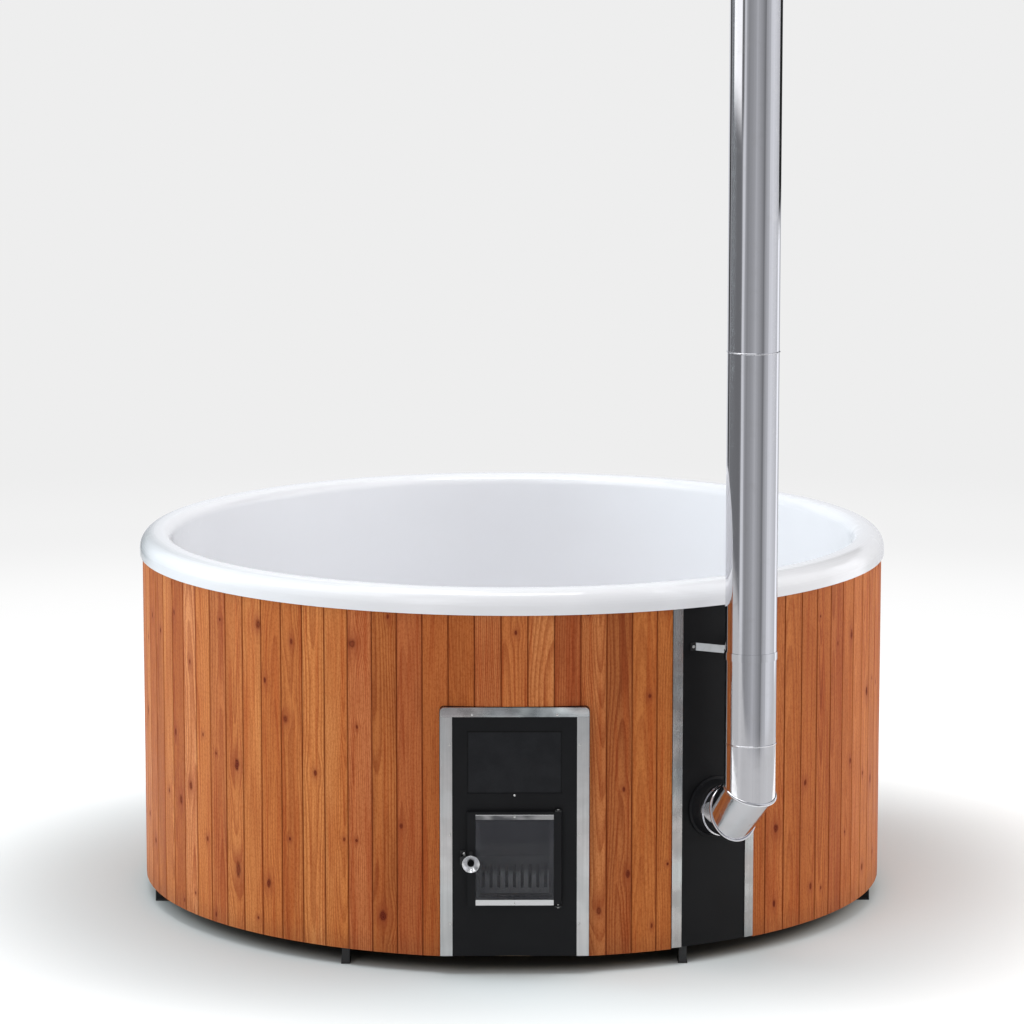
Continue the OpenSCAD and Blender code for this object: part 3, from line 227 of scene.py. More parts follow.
def stained_boards():
    """Red-brown pine, board by board: growth rings are the distance from a pith line that
    wanders along the board, pushed aside at each knot. The colour is darker at the board edges
    and down in the gaps between boards.

    On a board, u runs across it, z along it and w out of its face. Each bay of its length has
    room for one knot. Away is the distance from the knot's middle over the knot's size."""
    bay, knot_room, half_width = 0.26, 0.052, 0.0332
    m = Finish("stained_pine_boards", Specular_IOR_Level=0.11)
    x, y, z = m.place()
    turn = x.math("ARCTAN2", y * -1)
    board = (turn / BOARD_PITCH).math("ROUND")
    label = (board + BOARD_COUNT).math("MODULO", float(BOARD_COUNT))
    turn = turn - board * BOARD_PITCH
    radius = (x * x + y * y).math("SQRT")
    u = radius * turn.math("SINE")
    w = radius * turn.math("COSINE") - BOARD_OUT
    tone, lean, step = m.dice(label)
    shade, depth, shift = m.dice(label, 7.0)
    hue, pale, _ = m.dice(label, 13.0)

    cell = (z / bay + shift).math("FLOOR")
    knot_u, knot_z, knot_r = m.dice(label, cell, 3.0)
    shown, stretch, ringed = m.dice(label, cell, 9.0)
    shown = shown.over(0.46)
    ragged = m.noise(u * 120, z * 70, label * 2.9, detail=2.0) - 0.5
    size = 0.0036 + knot_r * knot_r * 0.0085
    du = u - (knot_u - 0.5) * knot_room
    dz = (z - (cell - shift + 0.27 + knot_z * 0.46) * bay) * (0.42 + stretch * 0.4)
    away = (du * du + dz * dz).math("SQRT") / size + ragged * 0.7
    push = away.bell(3.8) * shown

    wander = m.noise(label * 5.1, z * 1.6, 0.0, detail=1.0) - 0.5
    flutter = m.noise(u * 9, z * 3.5, label * 2.3, detail=2.0) - 0.5
    pith_u = (lean - 0.5) * 0.07 + wander * 0.05
    pith_w = depth * 0.035 + 0.003 + (step - 0.5) * 0.09 * (z - 0.45) + wander * 0.02
    off = u - du * push * 0.85 - pith_u
    deep = pith_w - w
    ring_width = 0.0042 + step * 0.0035
    rings = (off * off + deep * deep).math("SQRT") / ring_width + flutter * 1.5
    late = rings.math("FRACT")
    late = late.ease(0.25, 0.85) * (1 - late.ease(0.9, 1.0))
    fine = m.noise(u * 420, z * 9, label * 3.1, detail=3.0, rough=0.6)
    streak = m.noise(u * 70, z * 2.2, label * 7.7, detail=2.0)
    cloud = m.noise(u * 16, z * 2.5, label * 1.9, detail=2.0)
    fleck = m.noise(u * 230, z * 130, label * 4.3, detail=3.0, rough=0.65)

    stops = [
        (0.0, (0.34, 0.091, 0.020)),
        (0.32, (0.47, 0.139, 0.032)),
        (0.64, (0.57, 0.192, 0.049)),
        (1.0, (0.67, 0.277, 0.092)),
    ]
    colour = m.ramp(stops, tone * 0.62 + cloud * 0.5 + streak * 0.25 - 0.18)
    tints = [
        (hue.ease(0.45, 0.95) * 0.85, (0.95, 0.93, 1.28)),
        (pale.ease(0.68, 0.82) * (cloud + 0.35), (1.11, 1.26, 1.46)),
        (late * (0.32 + shade * 0.42), (0.62, 0.43, 0.34)),
        (streak.ease(0.46, 0.70) * 0.85, (0.80, 0.58, 0.46)),
        (fine.ease(0.44, 0.72) * 0.65, (0.70, 0.54, 0.42)),
        (fleck.ease(0.45, 0.62) * 0.62, (0.78, 0.64, 0.52)),
    ]
    for share, tint in tints:
        colour = m.tinted(share, colour, tint)

    halo = away.bell(2.4) * shown
    colour = m.blend(halo * 0.62, colour, (0.27, 0.052, 0.014))
    eye = (1 - away.ease(0.45, 1.15)) * shown
    iris = (away * (1.6 + ringed * 1.6)).math("FRACT").ease(0.2, 0.9)
    knot = m.blend(iris, (0.17, 0.024, 0.008), (0.070, 0.007, 0.002))
    colour = m.blend(eye * (0.7 + ringed * 0.3), colour, knot)

    # Darker at the board edges and down in the gaps between boards.
    edge = abs(u).ease(half_width - 0.0042, half_width)
    sunk = (w * -1).ease(0.0006, 0.003)
    edge_and_gap_darkening = (edge * 0.5 + sunk * 0.5).math("MINIMUM", 0.9)
    colour = m.blend(edge_and_gap_darkening, colour, (0.17, 0.027, 0.004))
    damp = (1 - z.ease(0.045, 0.11)) * 0.25
    colour = m.blend(damp, colour, (0.16, 0.05, 0.022))

    rough = 0.44 + fine * 0.12 + late * 0.06 + (edge_and_gap_darkening + eye) * 0.3
    height = late * 0.5 + fine * 0.5 - eye * 0.6 + streak * 0.4
    relief = m.bump(height, 0.00035, 0.7)
    return m.done(Base_Color=colour, Roughness=rough, Normal=relief)


def liner_shell():
    """Glossy white moulded plastic with a faint long wave and a little orange peel."""
    m = Finish("white_liner_gloss", IOR=1.5, Coat_Roughness=0.03)
    x, y, z = m.place()
    cloud = m.speckle(2.2, detail=3.0)
    peel = m.speckle(190, detail=1.0)
    wave = m.noise(x * 3.1 + 4, y * 3.1, z * 1.6, detail=1.0)
    scuff = m.speckle(35, detail=4.0, rough=0.7).ease(0.56, 0.74)
    colour = m.blend(cloud, (0.765, 0.77, 0.80), (0.795, 0.80, 0.83))
    colour = m.blend(scuff * 0.12, colour, (0.70, 0.70, 0.71))
    relief = m.bump(peel, 0.00002, 0.5, under=m.bump(wave, 0.004, 0.5))
    rough = 0.12 + cloud * 0.06 + scuff * 0.1
    coat = 0.6 - scuff * 0.2
    return m.done(Base_Color=colour, Roughness=rough, Coat_Weight=coat, Normal=relief)


def black_coat(name, grain=520.0, rough=0.42, tint=(0.0068, 0.0070, 0.0080), gloss=0.12):
    """Baked black paint with a fine leathery grain and pale rubbed specks."""
    m = Finish(name, Specular_IOR_Level=gloss)
    x, y, z = m.place()
    skin = m.speckle(grain, detail=2.0, rough=0.6)
    pores = {"Vector": m.vector(x, y, z), "Scale": grain * 1.3}
    cell = m.add("ShaderNodeTexVoronoi", {"feature": "F1"}, pores)
    cloud = m.speckle(9, detail=3.0)
    speck = m.speckle(210, detail=3.0, rough=0.7).ease(0.68, 0.8)
    colour = m.blend(cloud.ease(0.3, 0.7) * 0.5, tint, tuple(c * 1.4 for c in tint))
    colour = m.blend(speck * 0.5, colour, tuple(c * 2.2 for c in tint))
    relief = m.bump(skin * 0.6 + cell * 0.5, 0.00025, 0.55)
    rough = rough + skin * 0.12 - cloud * 0.08
    return m.done(Base_Color=colour, Roughness=rough, Normal=relief)


def cover_coat():
    """The cover plate's paint: coarser orange peel, and painted shade where it runs in under
    the panel, darkest along the top. The shade's mask is the distance from the opening's edge
    in x and z."""
    m = Finish("cover_plate_paint", Specular_IOR_Level=0.16)
    x, _, z = m.place()
    peel = m.speckle(260, detail=2.0, rough=0.55)
    mottle = m.speckle(24, detail=3.0)
    side = abs(x).ease(HATCH_X, HATCH_X + 0.003)
    head = z.ease(HATCH_HEAD, HATCH_HEAD + 0.0045)
    foot = 1 - z.ease(HATCH_FOOT - 0.002, HATCH_FOOT)
    # Painted shade: darker along the opening's edges, most at the top, where the plate runs in
    # under the panel.
    edge = (side * 0.7 + head + foot * 0.5).math("MINIMUM", 1.0)
    dark, light = (0.0082, 0.0088, 0.0108), (0.0115, 0.0122, 0.0145)
    colour = m.blend(mottle.ease(0.3, 0.7), dark, light)
    colour = m.blend(edge, colour, (0.002, 0.002, 0.002))
    rough = 0.34 + peel * 0.12 + edge * 0.3
    return m.done(Base_Color=colour, Roughness=rough, Normal=m.bump(peel, 0.0004, 0.6))


def brushed_steel(name, along, tint, rough, dents, stain):
    """Stainless sheet brushed along one axis, 0 to 2: noise drawn out along that axis, over
    shallow dents from handling and a stain that drifts between cool and warm."""
    m = Finish(name, Metallic=1.0)
    point = m.place()
    long = [value * (6.0 if i == along else 900.0) for i, value in enumerate(point)]
    wide = [value * (2.5 if i == along else 130.0) for i, value in enumerate(point)]
    brush = m.noise(*long, detail=3.0, rough=0.6)
    band = m.noise(*wide, detail=2.0)
    x, y, z = point
    smear = m.speckle(14, detail=3.0)
    dent = m.noise(x * 12 + 7, y * 12, z * 12, detail=1.0)
    colour = tint
    darker = [
        (band.ease(0.35, 0.7) * 0.55, 0.78),
        (brush.ease(0.45, 0.75) * 0.35, 0.7),
        (smear.ease(0.42, 0.62) * stain, 0.55),
    ]
    for share, level in darker:
        colour = m.blend(share, colour, tuple(c * level for c in tint))
    drift = m.noise(x * 5, y * 5, z * 7 + 3, detail=2.0)
    cool, warm = (0.93, 1.03, 1.04), (1.05, 0.985, 0.96)
    colour = m.tinted(stain, colour, m.blend(drift.ease(0.36, 0.64), cool, warm))
    ruffle = m.bump(brush, 0.00006, 0.5, under=m.bump(dent, dents, 0.6))
    rough = rough + brush * 0.12 + smear.ease(0.45, 0.7) * 0.06
    return m.done(Base_Color=colour, Roughness=rough, Normal=ruffle)


def strip_finish():
    """The glass strips: bright ground steel. The upper one, above 0.4 m, is darker grey in
    patches, apart from its top edge."""
    upper_foot, upper_top = 0.402, 0.4232
    m = Finish("glass_strip_steel", Metallic=1.0)
    x, _, z = m.place()
    grind = m.noise(x * 12, 0.0, z * 1400, detail=3.0)
    patch = m.noise(x * 17, 0.0, z * 30, detail=2.0).ease(0.38, 0.66)
    upper = z.ease(upper_foot, upper_foot + 0.004)
    upper = upper * (1 - z.ease(upper_top - 0.001, upper_top))
    # The upper strip's darker grey patches.
    darker_patches = m.blend(patch, (0.10, 0.10, 0.105), (0.32, 0.318, 0.32))
    ground = m.blend(grind.ease(0.4, 0.7) * 0.3, (0.50, 0.50, 0.505), (0.42, 0.42, 0.425))
    colour = m.blend(upper, ground, darker_patches)
    return m.done(Base_Color=colour, Roughness=0.18 + grind * 0.1 + upper * 0.06)


def polished_pipe():
    """Bright rolled stainless tube: long soft waves down the sheet, and faint smudges."""
    m = Finish("bright_flue_steel", Metallic=1.0)
    x, y, z = m.place()
    turn = (y - PIPE_Y).math("ARCTAN2", x - PIPE_X)
    roll = m.noise(turn * 3.0, z * 0.9, 3.0, detail=2.0)
    line = m.noise(turn * 60, z * 1.4, 0.0, detail=2.0)
    smudge = m.speckle(22, detail=4.0, rough=0.65).ease(0.5, 0.75)
    colour = m.blend(line.ease(0.4, 0.8) * 0.4, (0.72, 0.72, 0.745), (0.65, 0.65, 0.675))
    colour = m.blend(smudge * 0.2, colour, (0.58, 0.575, 0.57))
    relief = m.bump(line, 0.00003, 0.4, under=m.bump(roll, 0.0012, 0.35))
    rough = 0.05 + line * 0.03 + smudge * 0.08
    return m.done(Base_Color=colour, Roughness=rough, Normal=relief)


def bright_metal(name, tint, rough, scale=60.0):
    """Turned or plated metal with fine marks and a little tarnish in patches."""
    m = Finish(name, Metallic=1.0)
    mark = m.speckle(scale * 5, detail=3.0, rough=0.6)
    patch = m.speckle(scale, detail=3.0).ease(0.45, 0.75)
    colour = m.blend(patch * 0.4, tint, tuple(c * 0.72 for c in tint))
    rough = rough + patch * 0.12 + mark * 0.06
    return m.done(Base_Color=colour, Roughness=rough, Normal=m.bump(mark, 0.00003, 0.4))


def strut_finish():
    """Zinc-coated strap with faint spangle. Its feet, within 2 mm of the wall, are near-black
    and not metallic: the distance out is x sin(azimuth) - y cos(azimuth)."""
    dark_feet_out = 1.0168
    m = Finish("galvanised_strap_steel")
    x, y, _ = m.place()
    out = x * math.sin(FLUE_AZ) - y * math.cos(FLUE_AZ)
    spangle = m.speckle(90, detail=3.0, rough=0.6)
    patch = m.speckle(30, detail=3.0).ease(0.45, 0.75)
    clear = out.ease(dark_feet_out, dark_feet_out + 0.0014)
    colour = m.blend(patch * 0.4, (0.58, 0.60, 0.61), (0.42, 0.43, 0.44))
    colour = m.blend(spangle.ease(0.5, 0.7) * 0.25, colour, (0.66, 0.68, 0.69))
    # The feet go near-black.
    colour = m.blend(clear, (0.008, 0.008, 0.009), colour)
    relief = m.bump(spangle, 0.0001, 0.4)
    rough = 0.46 + patch * 0.12 - clear * 0.12
    return m.done(Base_Color=colour, Metallic=clear, Roughness=rough, Normal=relief)


def sooted_plate(name, tint, soot, scale=9.0):
    """Heated steel: scaled grey-brown plate, blackened with soot in soft patches."""
    m = Finish(name, Specular_IOR_Level=0.3)
    smoke = m.speckle(scale, detail=5.0, rough=0.65)
    crust = m.speckle(160, detail=4.0, rough=0.7)
    colour = m.blend(smoke.ease(0.3, 0.62), tint, soot)
    flake = tuple(c * 1.9 + 0.01 for c in tint)
    colour = m.blend(crust.ease(0.55, 0.75) * 0.4, colour, flake)
    relief = m.bump(crust, 0.0005, 0.6)
    return m.done(Base_Color=colour, Roughness=0.72 + crust * 0.2, Normal=relief)


def guard_plate():
    """The slotted guard behind the glass: grey rolled plate, its soot in upright streaks that
    darken towards the top."""
    m = Finish("ember_guard_plate", Specular_IOR_Level=0.35)
    x, y, z = m.place()
    streak = m.noise(x * 60, y * 10, z * 7, detail=3.0, rough=0.6)
    mill = m.speckle(240, detail=3.0, rough=0.6)
    soot = (streak * 0.6 + z.ease(0.235, 0.290) * 0.8).ease(0.3, 0.95)
    colour = m.blend(soot, (0.27, 0.274, 0.285), (0.030, 0.030, 0.031))
    colour = m.blend(mill.ease(0.5, 0.7) * 0.12, colour, (0.22, 0.222, 0.23))
    relief = m.bump(mill, 0.0002, 0.5)
    return m.done(Base_Color=colour, Roughness=0.5 + mill * 0.2, Normal=relief)


def cast_iron():
    """Sand-cast iron: pebbled skin, with rust in the hollows."""
    m = Finish("cast_iron_skin", Specular_IOR_Level=0.4)
    pebble = m.speckle(380, detail=3.0, rough=0.6)
    rust = m.speckle(30, detail=5.0, rough=0.7).ease(0.5, 0.68)
    colour = m.blend(rust * 0.7, (0.03, 0.03, 0.031), (0.13, 0.052, 0.024))
    relief = m.bump(pebble, 0.0006, 0.7)
    return m.done(Base_Color=colour, Roughness=0.66 + pebble * 0.2, Normal=relief)


def smoked_glass():
    """Ceramic door glass: clear, under a grey film of smoke that thickens to its edges and
    its top. The film is what hides what lies behind."""
    grey = (0.040, 0.041, 0.049)
    m = Finish("door_pane", IOR=1.5, Specular_IOR_Level=0.33, Base_Color=grey)
    x, _, z = m.place()
    haze = m.noise(x * 9, 0.0, z * 9, detail=3.0, rough=0.55)
    run = m.noise(x * 70, 0.0, z * 8, detail=3.0)
    side = abs(x).ease(PANE_X - 0.022, PANE_X) + (1 - z.ease(PANE_FOOT, PANE_FOOT + 0.017))
    film = haze.ease(0.35, 0.8) * 0.25 + side * 0.35 + z.ease(0.25, 0.40) * 0.6
    film = (film + run.ease(0.5, 0.8) * 0.08).math("MINIMUM", 1.0)
    return m.done(Alpha=0.22 + film * 0.6, Roughness=0.04 + film * 0.05)


def plywood():
    """Birch plywood: pale faces with long grain, and dark glue lines every 1.4 mm of height."""
    veneer = 0.0014
    m = Finish("birch_plywood", Specular_IOR_Level=0.35)
    x, y, z = m.place()
    grain = m.noise(x * 8, y * 140, z * 140, detail=3.0, rough=0.6)
    ply = (z / (2 * veneer)).math("FRACT").ease(0.44, 0.5)
    normal = m.add("ShaderNodeNewGeometry", out=1)
    level = abs(m.add("ShaderNodeSeparateXYZ", (), {0: normal}, out=2)).ease(0.6, 0.8)
    glue = abs((z / veneer).math("FRACT") - 0.5).ease(0.4, 0.48)
    colour = m.blend(grain.ease(0.4, 0.7), (0.60, 0.43, 0.27), (0.47, 0.31, 0.18))
    edge = m.blend(ply, (0.50, 0.34, 0.20), (0.34, 0.21, 0.115))
    edge = m.blend(glue * 0.7, edge, (0.10, 0.055, 0.03))
    colour = m.blend(level, edge, colour)
    relief = m.bump(grain, 0.0003, 0.5)
    return m.done(Base_Color=colour, Roughness=0.62 + grain * 0.15, Normal=relief)


def sprayed_foam():
    """Rigid cream foam: closed bubbles of a few millimetres under a lumpy skin."""
    m = Finish("cream_foam", Specular_IOR_Level=0.3)
    x, y, z = m.place()
    cells = {"Vector": m.vector(x, y, z), "Scale": 260.0}
    bubble = m.add("ShaderNodeTexVoronoi", {"feature": "SMOOTH_F1"}, cells)
    lump = m.speckle(28, detail=3.0)
    colour = m.blend(lump, (0.66, 0.57, 0.36), (0.76, 0.69, 0.50))
    colour = m.blend(bubble.ease(0.3, 0.8) * 0.4, colour, (0.50, 0.40, 0.22))
    skin = m.bump(bubble, 0.0012, 0.6, under=m.bump(lump, 0.008, 0.5))
    return m.done(Base_Color=colour, Roughness=0.85 - lump * 0.1, Normal=skin)


def soft_black(name, tint, rough, grain=300.0):
    """Moulded rubber or plastic: matt, faintly mottled, with dust in the grain."""
    m = Finish(name, Specular_IOR_Level=0.4)
    grit = m.speckle(grain, detail=3.0)
    dust = m.speckle(18, detail=4.0, rough=0.65).ease(0.5, 0.75)
    colour = m.blend(dust * 0.4, tint, tuple(c + 0.035 for c in tint))
    relief = m.bump(grit, 0.0002, 0.5)
    return m.done(Base_Color=colour, Roughness=rough + grit * 0.12, Normal=relief)


def red_vinyl():
    """Dipped red grip with a soft sheen and worn, paler corners."""
    m = Finish("red_vinyl_grip", Coat_Roughness=0.2)
    mottle = m.speckle(60, detail=3.0)
    wear = m.speckle(210, detail=3.0, rough=0.7).ease(0.58, 0.72)
    colour = m.blend(mottle, (0.42, 0.016, 0.012), (0.52, 0.026, 0.02))
    colour = m.blend(wear * 0.3, colour, (0.62, 0.16, 0.13))
    rough = 0.38 + mottle * 0.14
    coat = 0.3 - wear * 0.2
    relief = m.bump(mottle, 0.0002, 0.4)
    return m.done(Base_Color=colour, Roughness=rough, Coat_Weight=coat, Normal=relief)


def glass_rope():
    """Grey glass-fibre rope: fine yarn across the lay, soot on its outside."""
    m = Finish("glass_fibre_rope", Specular_IOR_Level=0.2)
    yarn = m.speckle(900, detail=2.0)
    soot = m.speckle(40, detail=4.0).ease(0.42, 0.66)
    colour = m.blend(soot * 0.7, (0.44, 0.43, 0.41), (0.09, 0.085, 0.08))
    colour = m.blend(yarn.ease(0.5, 0.7) * 0.4, colour, (0.22, 0.215, 0.205))
    relief = m.bump(yarn, 0.0005, 0.7)
    return m.done(Base_Color=colour, Roughness=0.88 - soot * 0.08, Normal=relief)


boards = stained_boards()
liner = liner_shell()
panel_black = black_coat("textured_black_steel")
flue_black = black_coat("flue_panel_paint", tint=(0.0066, 0.0067, 0.0074))
frame_black = black_coat("painted_frame_steel", 160.0, 0.36, (0.014, 0.014, 0.015))
fitting_black = black_coat("blackened_fittings", 300.0, 0.30, (0.011, 0.011, 0.012), 0.35)
cover_black = cover_coat()
trim_upright = brushed_steel("trim_steel_upright", 2, (0.55, 0.545, 0.545), 0.3, 0.0012, 0.2)
trim_level = brushed_steel("trim_steel_level", 0, (0.62, 0.61, 0.615), 0.18, 0.022, 0.85)
trim_flue = brushed_steel("flue_trim_steel", 2, (0.51, 0.505, 0.50), 0.2, 0.006, 0.5)
strip_steel = strip_finish()
pipe_steel = polished_pipe()
plated = bright_metal("plated_screw_steel", (0.66, 0.655, 0.64), 0.24, 120.0)
chrome = bright_metal("polished_knob_steel", (0.90, 0.90, 0.91), 0.14, 30.0)
nickel = bright_metal("nickelled_brass", (0.62, 0.585, 0.50), 0.26, 50.0)
galvanised = strut_finish()
stainless = bright_metal("stainless_fittings", (0.64, 0.64, 0.64), 0.22, 50.0)
fire_plate = sooted_plate("firebox_plate", (0.075, 0.066, 0.06), (0.017, 0.015, 0.014))
duct_plate = sooted_plate("smoke_duct_plate", (0.11, 0.09, 0.08), (0.022, 0.02, 0.019), 5.0)
guard = guard_plate()
iron = cast_iron()
pane = smoked_glass()
ply = plywood()
foam = sprayed_foam()
rubber = soft_black("foot_rubber", (0.018, 0.018, 0.018), 0.72)
plastic = soft_black("moulded_black_plastic", (0.016, 0.016, 0.017), 0.42, 700.0)
vinyl = red_vinyl()
rope = glass_rope()

FINISHES = {
    boards: "cladding_front cladding_left cladding_right cladding_rear",
    liner: "liner",
    panel_black: "front_panel door_frame flue_collar handle_nut",
    flue_black: "flue_panel",
    cover_black: "cover_plate",
    fitting_black: "latch_keeper hinge_lugs handle_shaft",
    frame_black: "frame_rails cross_tubes",
    trim_upright: "stove_side_trims",
    trim_level: "stove_top_trim",
    trim_flue: "flue_trims",
    strip_steel: "glass_strips",
    pipe_steel: "flue_elbow flue_lower_pipe flue_upper_pipe pipe_clamp elbow_clamp rain_cap",
    plated: "trim_screws cover_screw keeper_screw strip_screws bracket_screws hinge_pins "
    "valve_nut",
    chrome: "handle_knob",
    nickel: "valve_body valve_ball",
    galvanised: "flue_bracket",
    stainless: "water_pipes pipe_flanges water_grilles floor_drain",
    fire_plate: "firebox door_throat",
    guard: "ember_guard",
    duct_plate: "water_jacket smoke_duct",
    iron: "grate",
    pane: "door_glass",
    ply: "floor_deck bench_supports cladding_hoops rim_core",
    foam: "floor_insulation wall_insulation",
    rubber: "foot_pads",
    plastic: "tube_end_caps drain_pipe",
    vinyl: "valve_lever",
    rope: "door_seal",
}

for finish, names in FINISHES.items():
    for name in names.split():
        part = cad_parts[name]
        part.data.materials.clear()
        part.data.materials.append(finish)


# ---------------------------------------------------------------- meshes and objects


def turns_round(count):
    """Evenly spaced turns of a closed ring."""
    return np.linspace(0, FULL_TURN, count, endpoint=False)


def faces_between(index):
    """Four-cornered faces from a grid of point numbers."""
    corners = [index[:-1, :-1], index[:-1, 1:], index[1:, 1:], index[1:, :-1]]
    return np.stack(corners, -1).reshape(-1, 4)


def smooth_mesh(name, points, quads, finish):
    """A smooth-shaded mesh in one finish."""
    mesh = bpy.data.meshes.new(name)
    mesh.from_pydata(points.tolist(), [], quads.tolist())
    mesh.polygons.foreach_set("use_smooth", [True] * len(mesh.polygons))
    mesh.materials.append(finish)
    return mesh


def linked(name, data):
    """A new object in the scene for a mesh, a lamp or a camera."""
    thing = bpy.data.objects.new(name, data)
    bpy.context.scene.collection.objects.link(thing)
    return thing


# ---------------------------------------------------------------- finer pieces


def add_piece(name, skins, finish, body, stands_for=(), ringed=False):
    """One piece from grids of points, rows by columns: each row closes on itself, and with
    ringed the last row meets the first. Rows drawn in to a point are merged there."""
    points, quads, start = [], [], 0
    for grid in skins:
        rows, columns = grid.shape[:2]
        index = np.arange(rows * columns).reshape(rows, columns) + start
        index = np.concatenate([index, index[:, :1]], 1)
        if ringed:
            index = np.concatenate([index, index[:1]], 0)
        quads.append(faces_between(index))
        points.append(grid.reshape(-1, 3))
        start += rows * columns
    mesh = smooth_mesh(name, np.concatenate(points), np.concatenate(quads), finish)
    work = bmesh.new()
    work.from_mesh(mesh)
    bmesh.ops.remove_doubles(work, verts=work.verts, dist=1e-6)
    bmesh.ops.recalc_face_normals(work, faces=work.faces)
    work.to_mesh(mesh)
    work.free()
    mesh.set_sharp_from_angle(angle=math.radians(38))
    thing = linked(name, mesh)
    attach(thing, body)
    if stands_for:
        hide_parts(stands_for)


def screw(place, axis, head, high, shank, length):
    """A domed screw with a six-lobed socket. Each row has a radius, a height above the seat
    and a share of lobing: radius times (1 + share * cos 6t) at the turn t."""
    axis = np.array(axis, float) / np.linalg.norm(axis)
    side = np.cross(axis, (0.0, 0.0, 1.0))
    side = side / np.linalg.norm(side)
    up = np.cross(side, axis)
    lobe = 0.16
    profile = [(0, 0.40, 0), (0.40, 0.40, lobe), (0.44, 0.95, lobe), (0.55, 0.93, 0.02)]
    profile += [(share, 1 - 0.55 * share**2.4, 0) for share in (0.66, 0.78, 0.90)]
    profile += [(0.97, 0.36, 0), (1.0, 0.22, 0), (1.0, 0.0, 0)]
    radius, height, lobing = np.array(profile).T[:, :, None]
    radius, height = radius * head, height * high
    below = np.array([(shank, 0.0, 0), (shank, -length, 0), (0, -length, 0)]).T[:, :, None]
    rows = zip((radius, height, lobing), below)
    radius, height, lobing = (np.concatenate(pair) for pair in rows)
    turn = turns_round(36)[None, :]
    reach = radius * (1 + lobing * np.cos(6 * turn))
    flat = reach * np.cos(turn), reach * np.sin(turn), height + 0 * turn
    return np.array(place) + sum(a[..., None] * b for a, b in zip(flat, (side, up, axis)))


def flue_point(out, along, z):
    """A point in the flue's own frame: out from the tub's axis, along the wall, and up."""
    sine, cosine = math.sin(FLUE_AZ), math.cos(FLUE_AZ)
    return np.stack([out * sine + along * cosine, along * sine - out * cosine, z + 0 * out], -1)


def front_screws(name, spots, y, head, shank, body):
    """Screws that face forwards, at places given by x and z, seated at y. The head has a
    radius and a height, and the shank a radius and a length."""
    skins = [screw((x, y, z), (0, -1, 0), *head, *shank) for x, z in spots]
    add_piece(name + "_heads", skins, plated, body, name)


side_trim_x, top_trim_x, top_trim_z = 0.165, 0.108, 0.681
trim_spots = [(side * side_trim_x, z) for side in (-1, 1) for z in (0.135, 0.369, 0.603)]
trim_spots += [(side * top_trim_x, top_trim_z) for side in (-1, 1)]
strip_spots = [(0, 0.194), (0, 0.41925)]

# Node, places as x and z, the seat's y, the head's and the shank's sizes, and the body.
FRONT_SCREWS = [
    ("trim_screws", trim_spots, -1.0175, (0.0034, 0.002), (0.002, 0.008), "tub"),
    ("cover_screw", [(0, 0.4712)], -1.016, (0.0032, 0.0018), (0.002, 0.008), "tub"),
    ("strip_screws", strip_spots, -1.034, (0.0028, 0.0015), (0.0016, 0.007), "stove_door"),
    ("keeper_screw", [(-0.1285, 0.3192)], -1.018, (0.004, 0.0024), (0.002, 0.0018), "tub"),
]
for row in FRONT_SCREWS:
    front_screws(*row)


def bracket_fixings():
    """Two screws through the bracket's feet, and the bolt that holds the clamp to it."""
    foot_out, foot_along, bolt_out = 1.01685, 0.069, 1.0939
    outward = flue_point(1.0, 0.0, 0.0)
    feet = [flue_point(foot_out, side * foot_along, BRACKET_Z) for side in (-1, 1)]
    skins = [screw(foot, outward, 0.004, 0.0026, 0.002, 0.010) for foot in feet]
    bolt = flue_point(bolt_out, 0.0, BRACKET_Z)
    skins.append(screw(bolt, -outward, 0.005, 0.004, 0.0023, 0.007))
    add_piece("bracket_screws_heads", skins, plated, "tub", "bracket_screws")


def squared(turn, power=0.55):
    """Cosine and sine of a turn, drawn out towards a square with rounded corners."""
    c, s = np.cos(turn), np.sin(turn)
    return np.sign(c) * np.abs(c) ** power, np.sign(s) * np.abs(s) ** power


def elbow_seams():
    """Folded seams at the elbow's two mitres. Each follows the ellipse where the 22.5 degree
    plane cuts the pipe: its slope is the radius times the turn's cosine times tan 22.5."""
    proud, sunk, half_width = 0.0034, 0.0011, 0.0044
    slope = math.tan(math.radians(22.5))
    turn = turns_round(128)[:, None]
    over, along = squared(turns_round(24)[None, :], 0.8)
    reach = PIPE_R + np.maximum(over * proud, -sunk)
    across, beside = reach * np.cos(turn), reach * np.sin(turn)
    lean = along * half_width - slope * across
    foot = flue_point(ELBOW_OUT + lean, beside, ELBOW_Z + across)
    top = flue_point(PIPE_OUT + across, beside, UPRIGHT_Z + lean)
    add_piece("elbow_seams", [foot, top], pipe_steel, "tub", ringed=True)


def pipe_seams():
    """The lock seam up the wall side of each pipe length: a low rounded rib that dies away at
    both ends. Each row of its profile has a height over the length's foot and a swell."""
    proud, half_turn, feet = 0.0007, 0.05, (0.612, 1.6127)
    profile = [(0, 0), (0, 0.6), (0.001, 0.9), (0.003, 1), (0.25, 1), (0.5, 1), (0.75, 1)]
    profile += [(0.986, 1), (0.988, 0.9), (0.989, 0.6), (0.989, 0)]
    height, swell = np.array(profile).T[:, :, None]
    across, over = squared(turns_round(16)[None, :])
    reach = PIPE_R - 0.0002 + over * proud * swell
    turn = math.pi + across * swell * half_turn
    out, along = PIPE_OUT + reach * np.cos(turn), reach * np.sin(turn)
    skins = [flue_point(out, along, foot + height) for foot in feet]
    add_piece("pipe_seams", skins, pipe_steel, "tub")


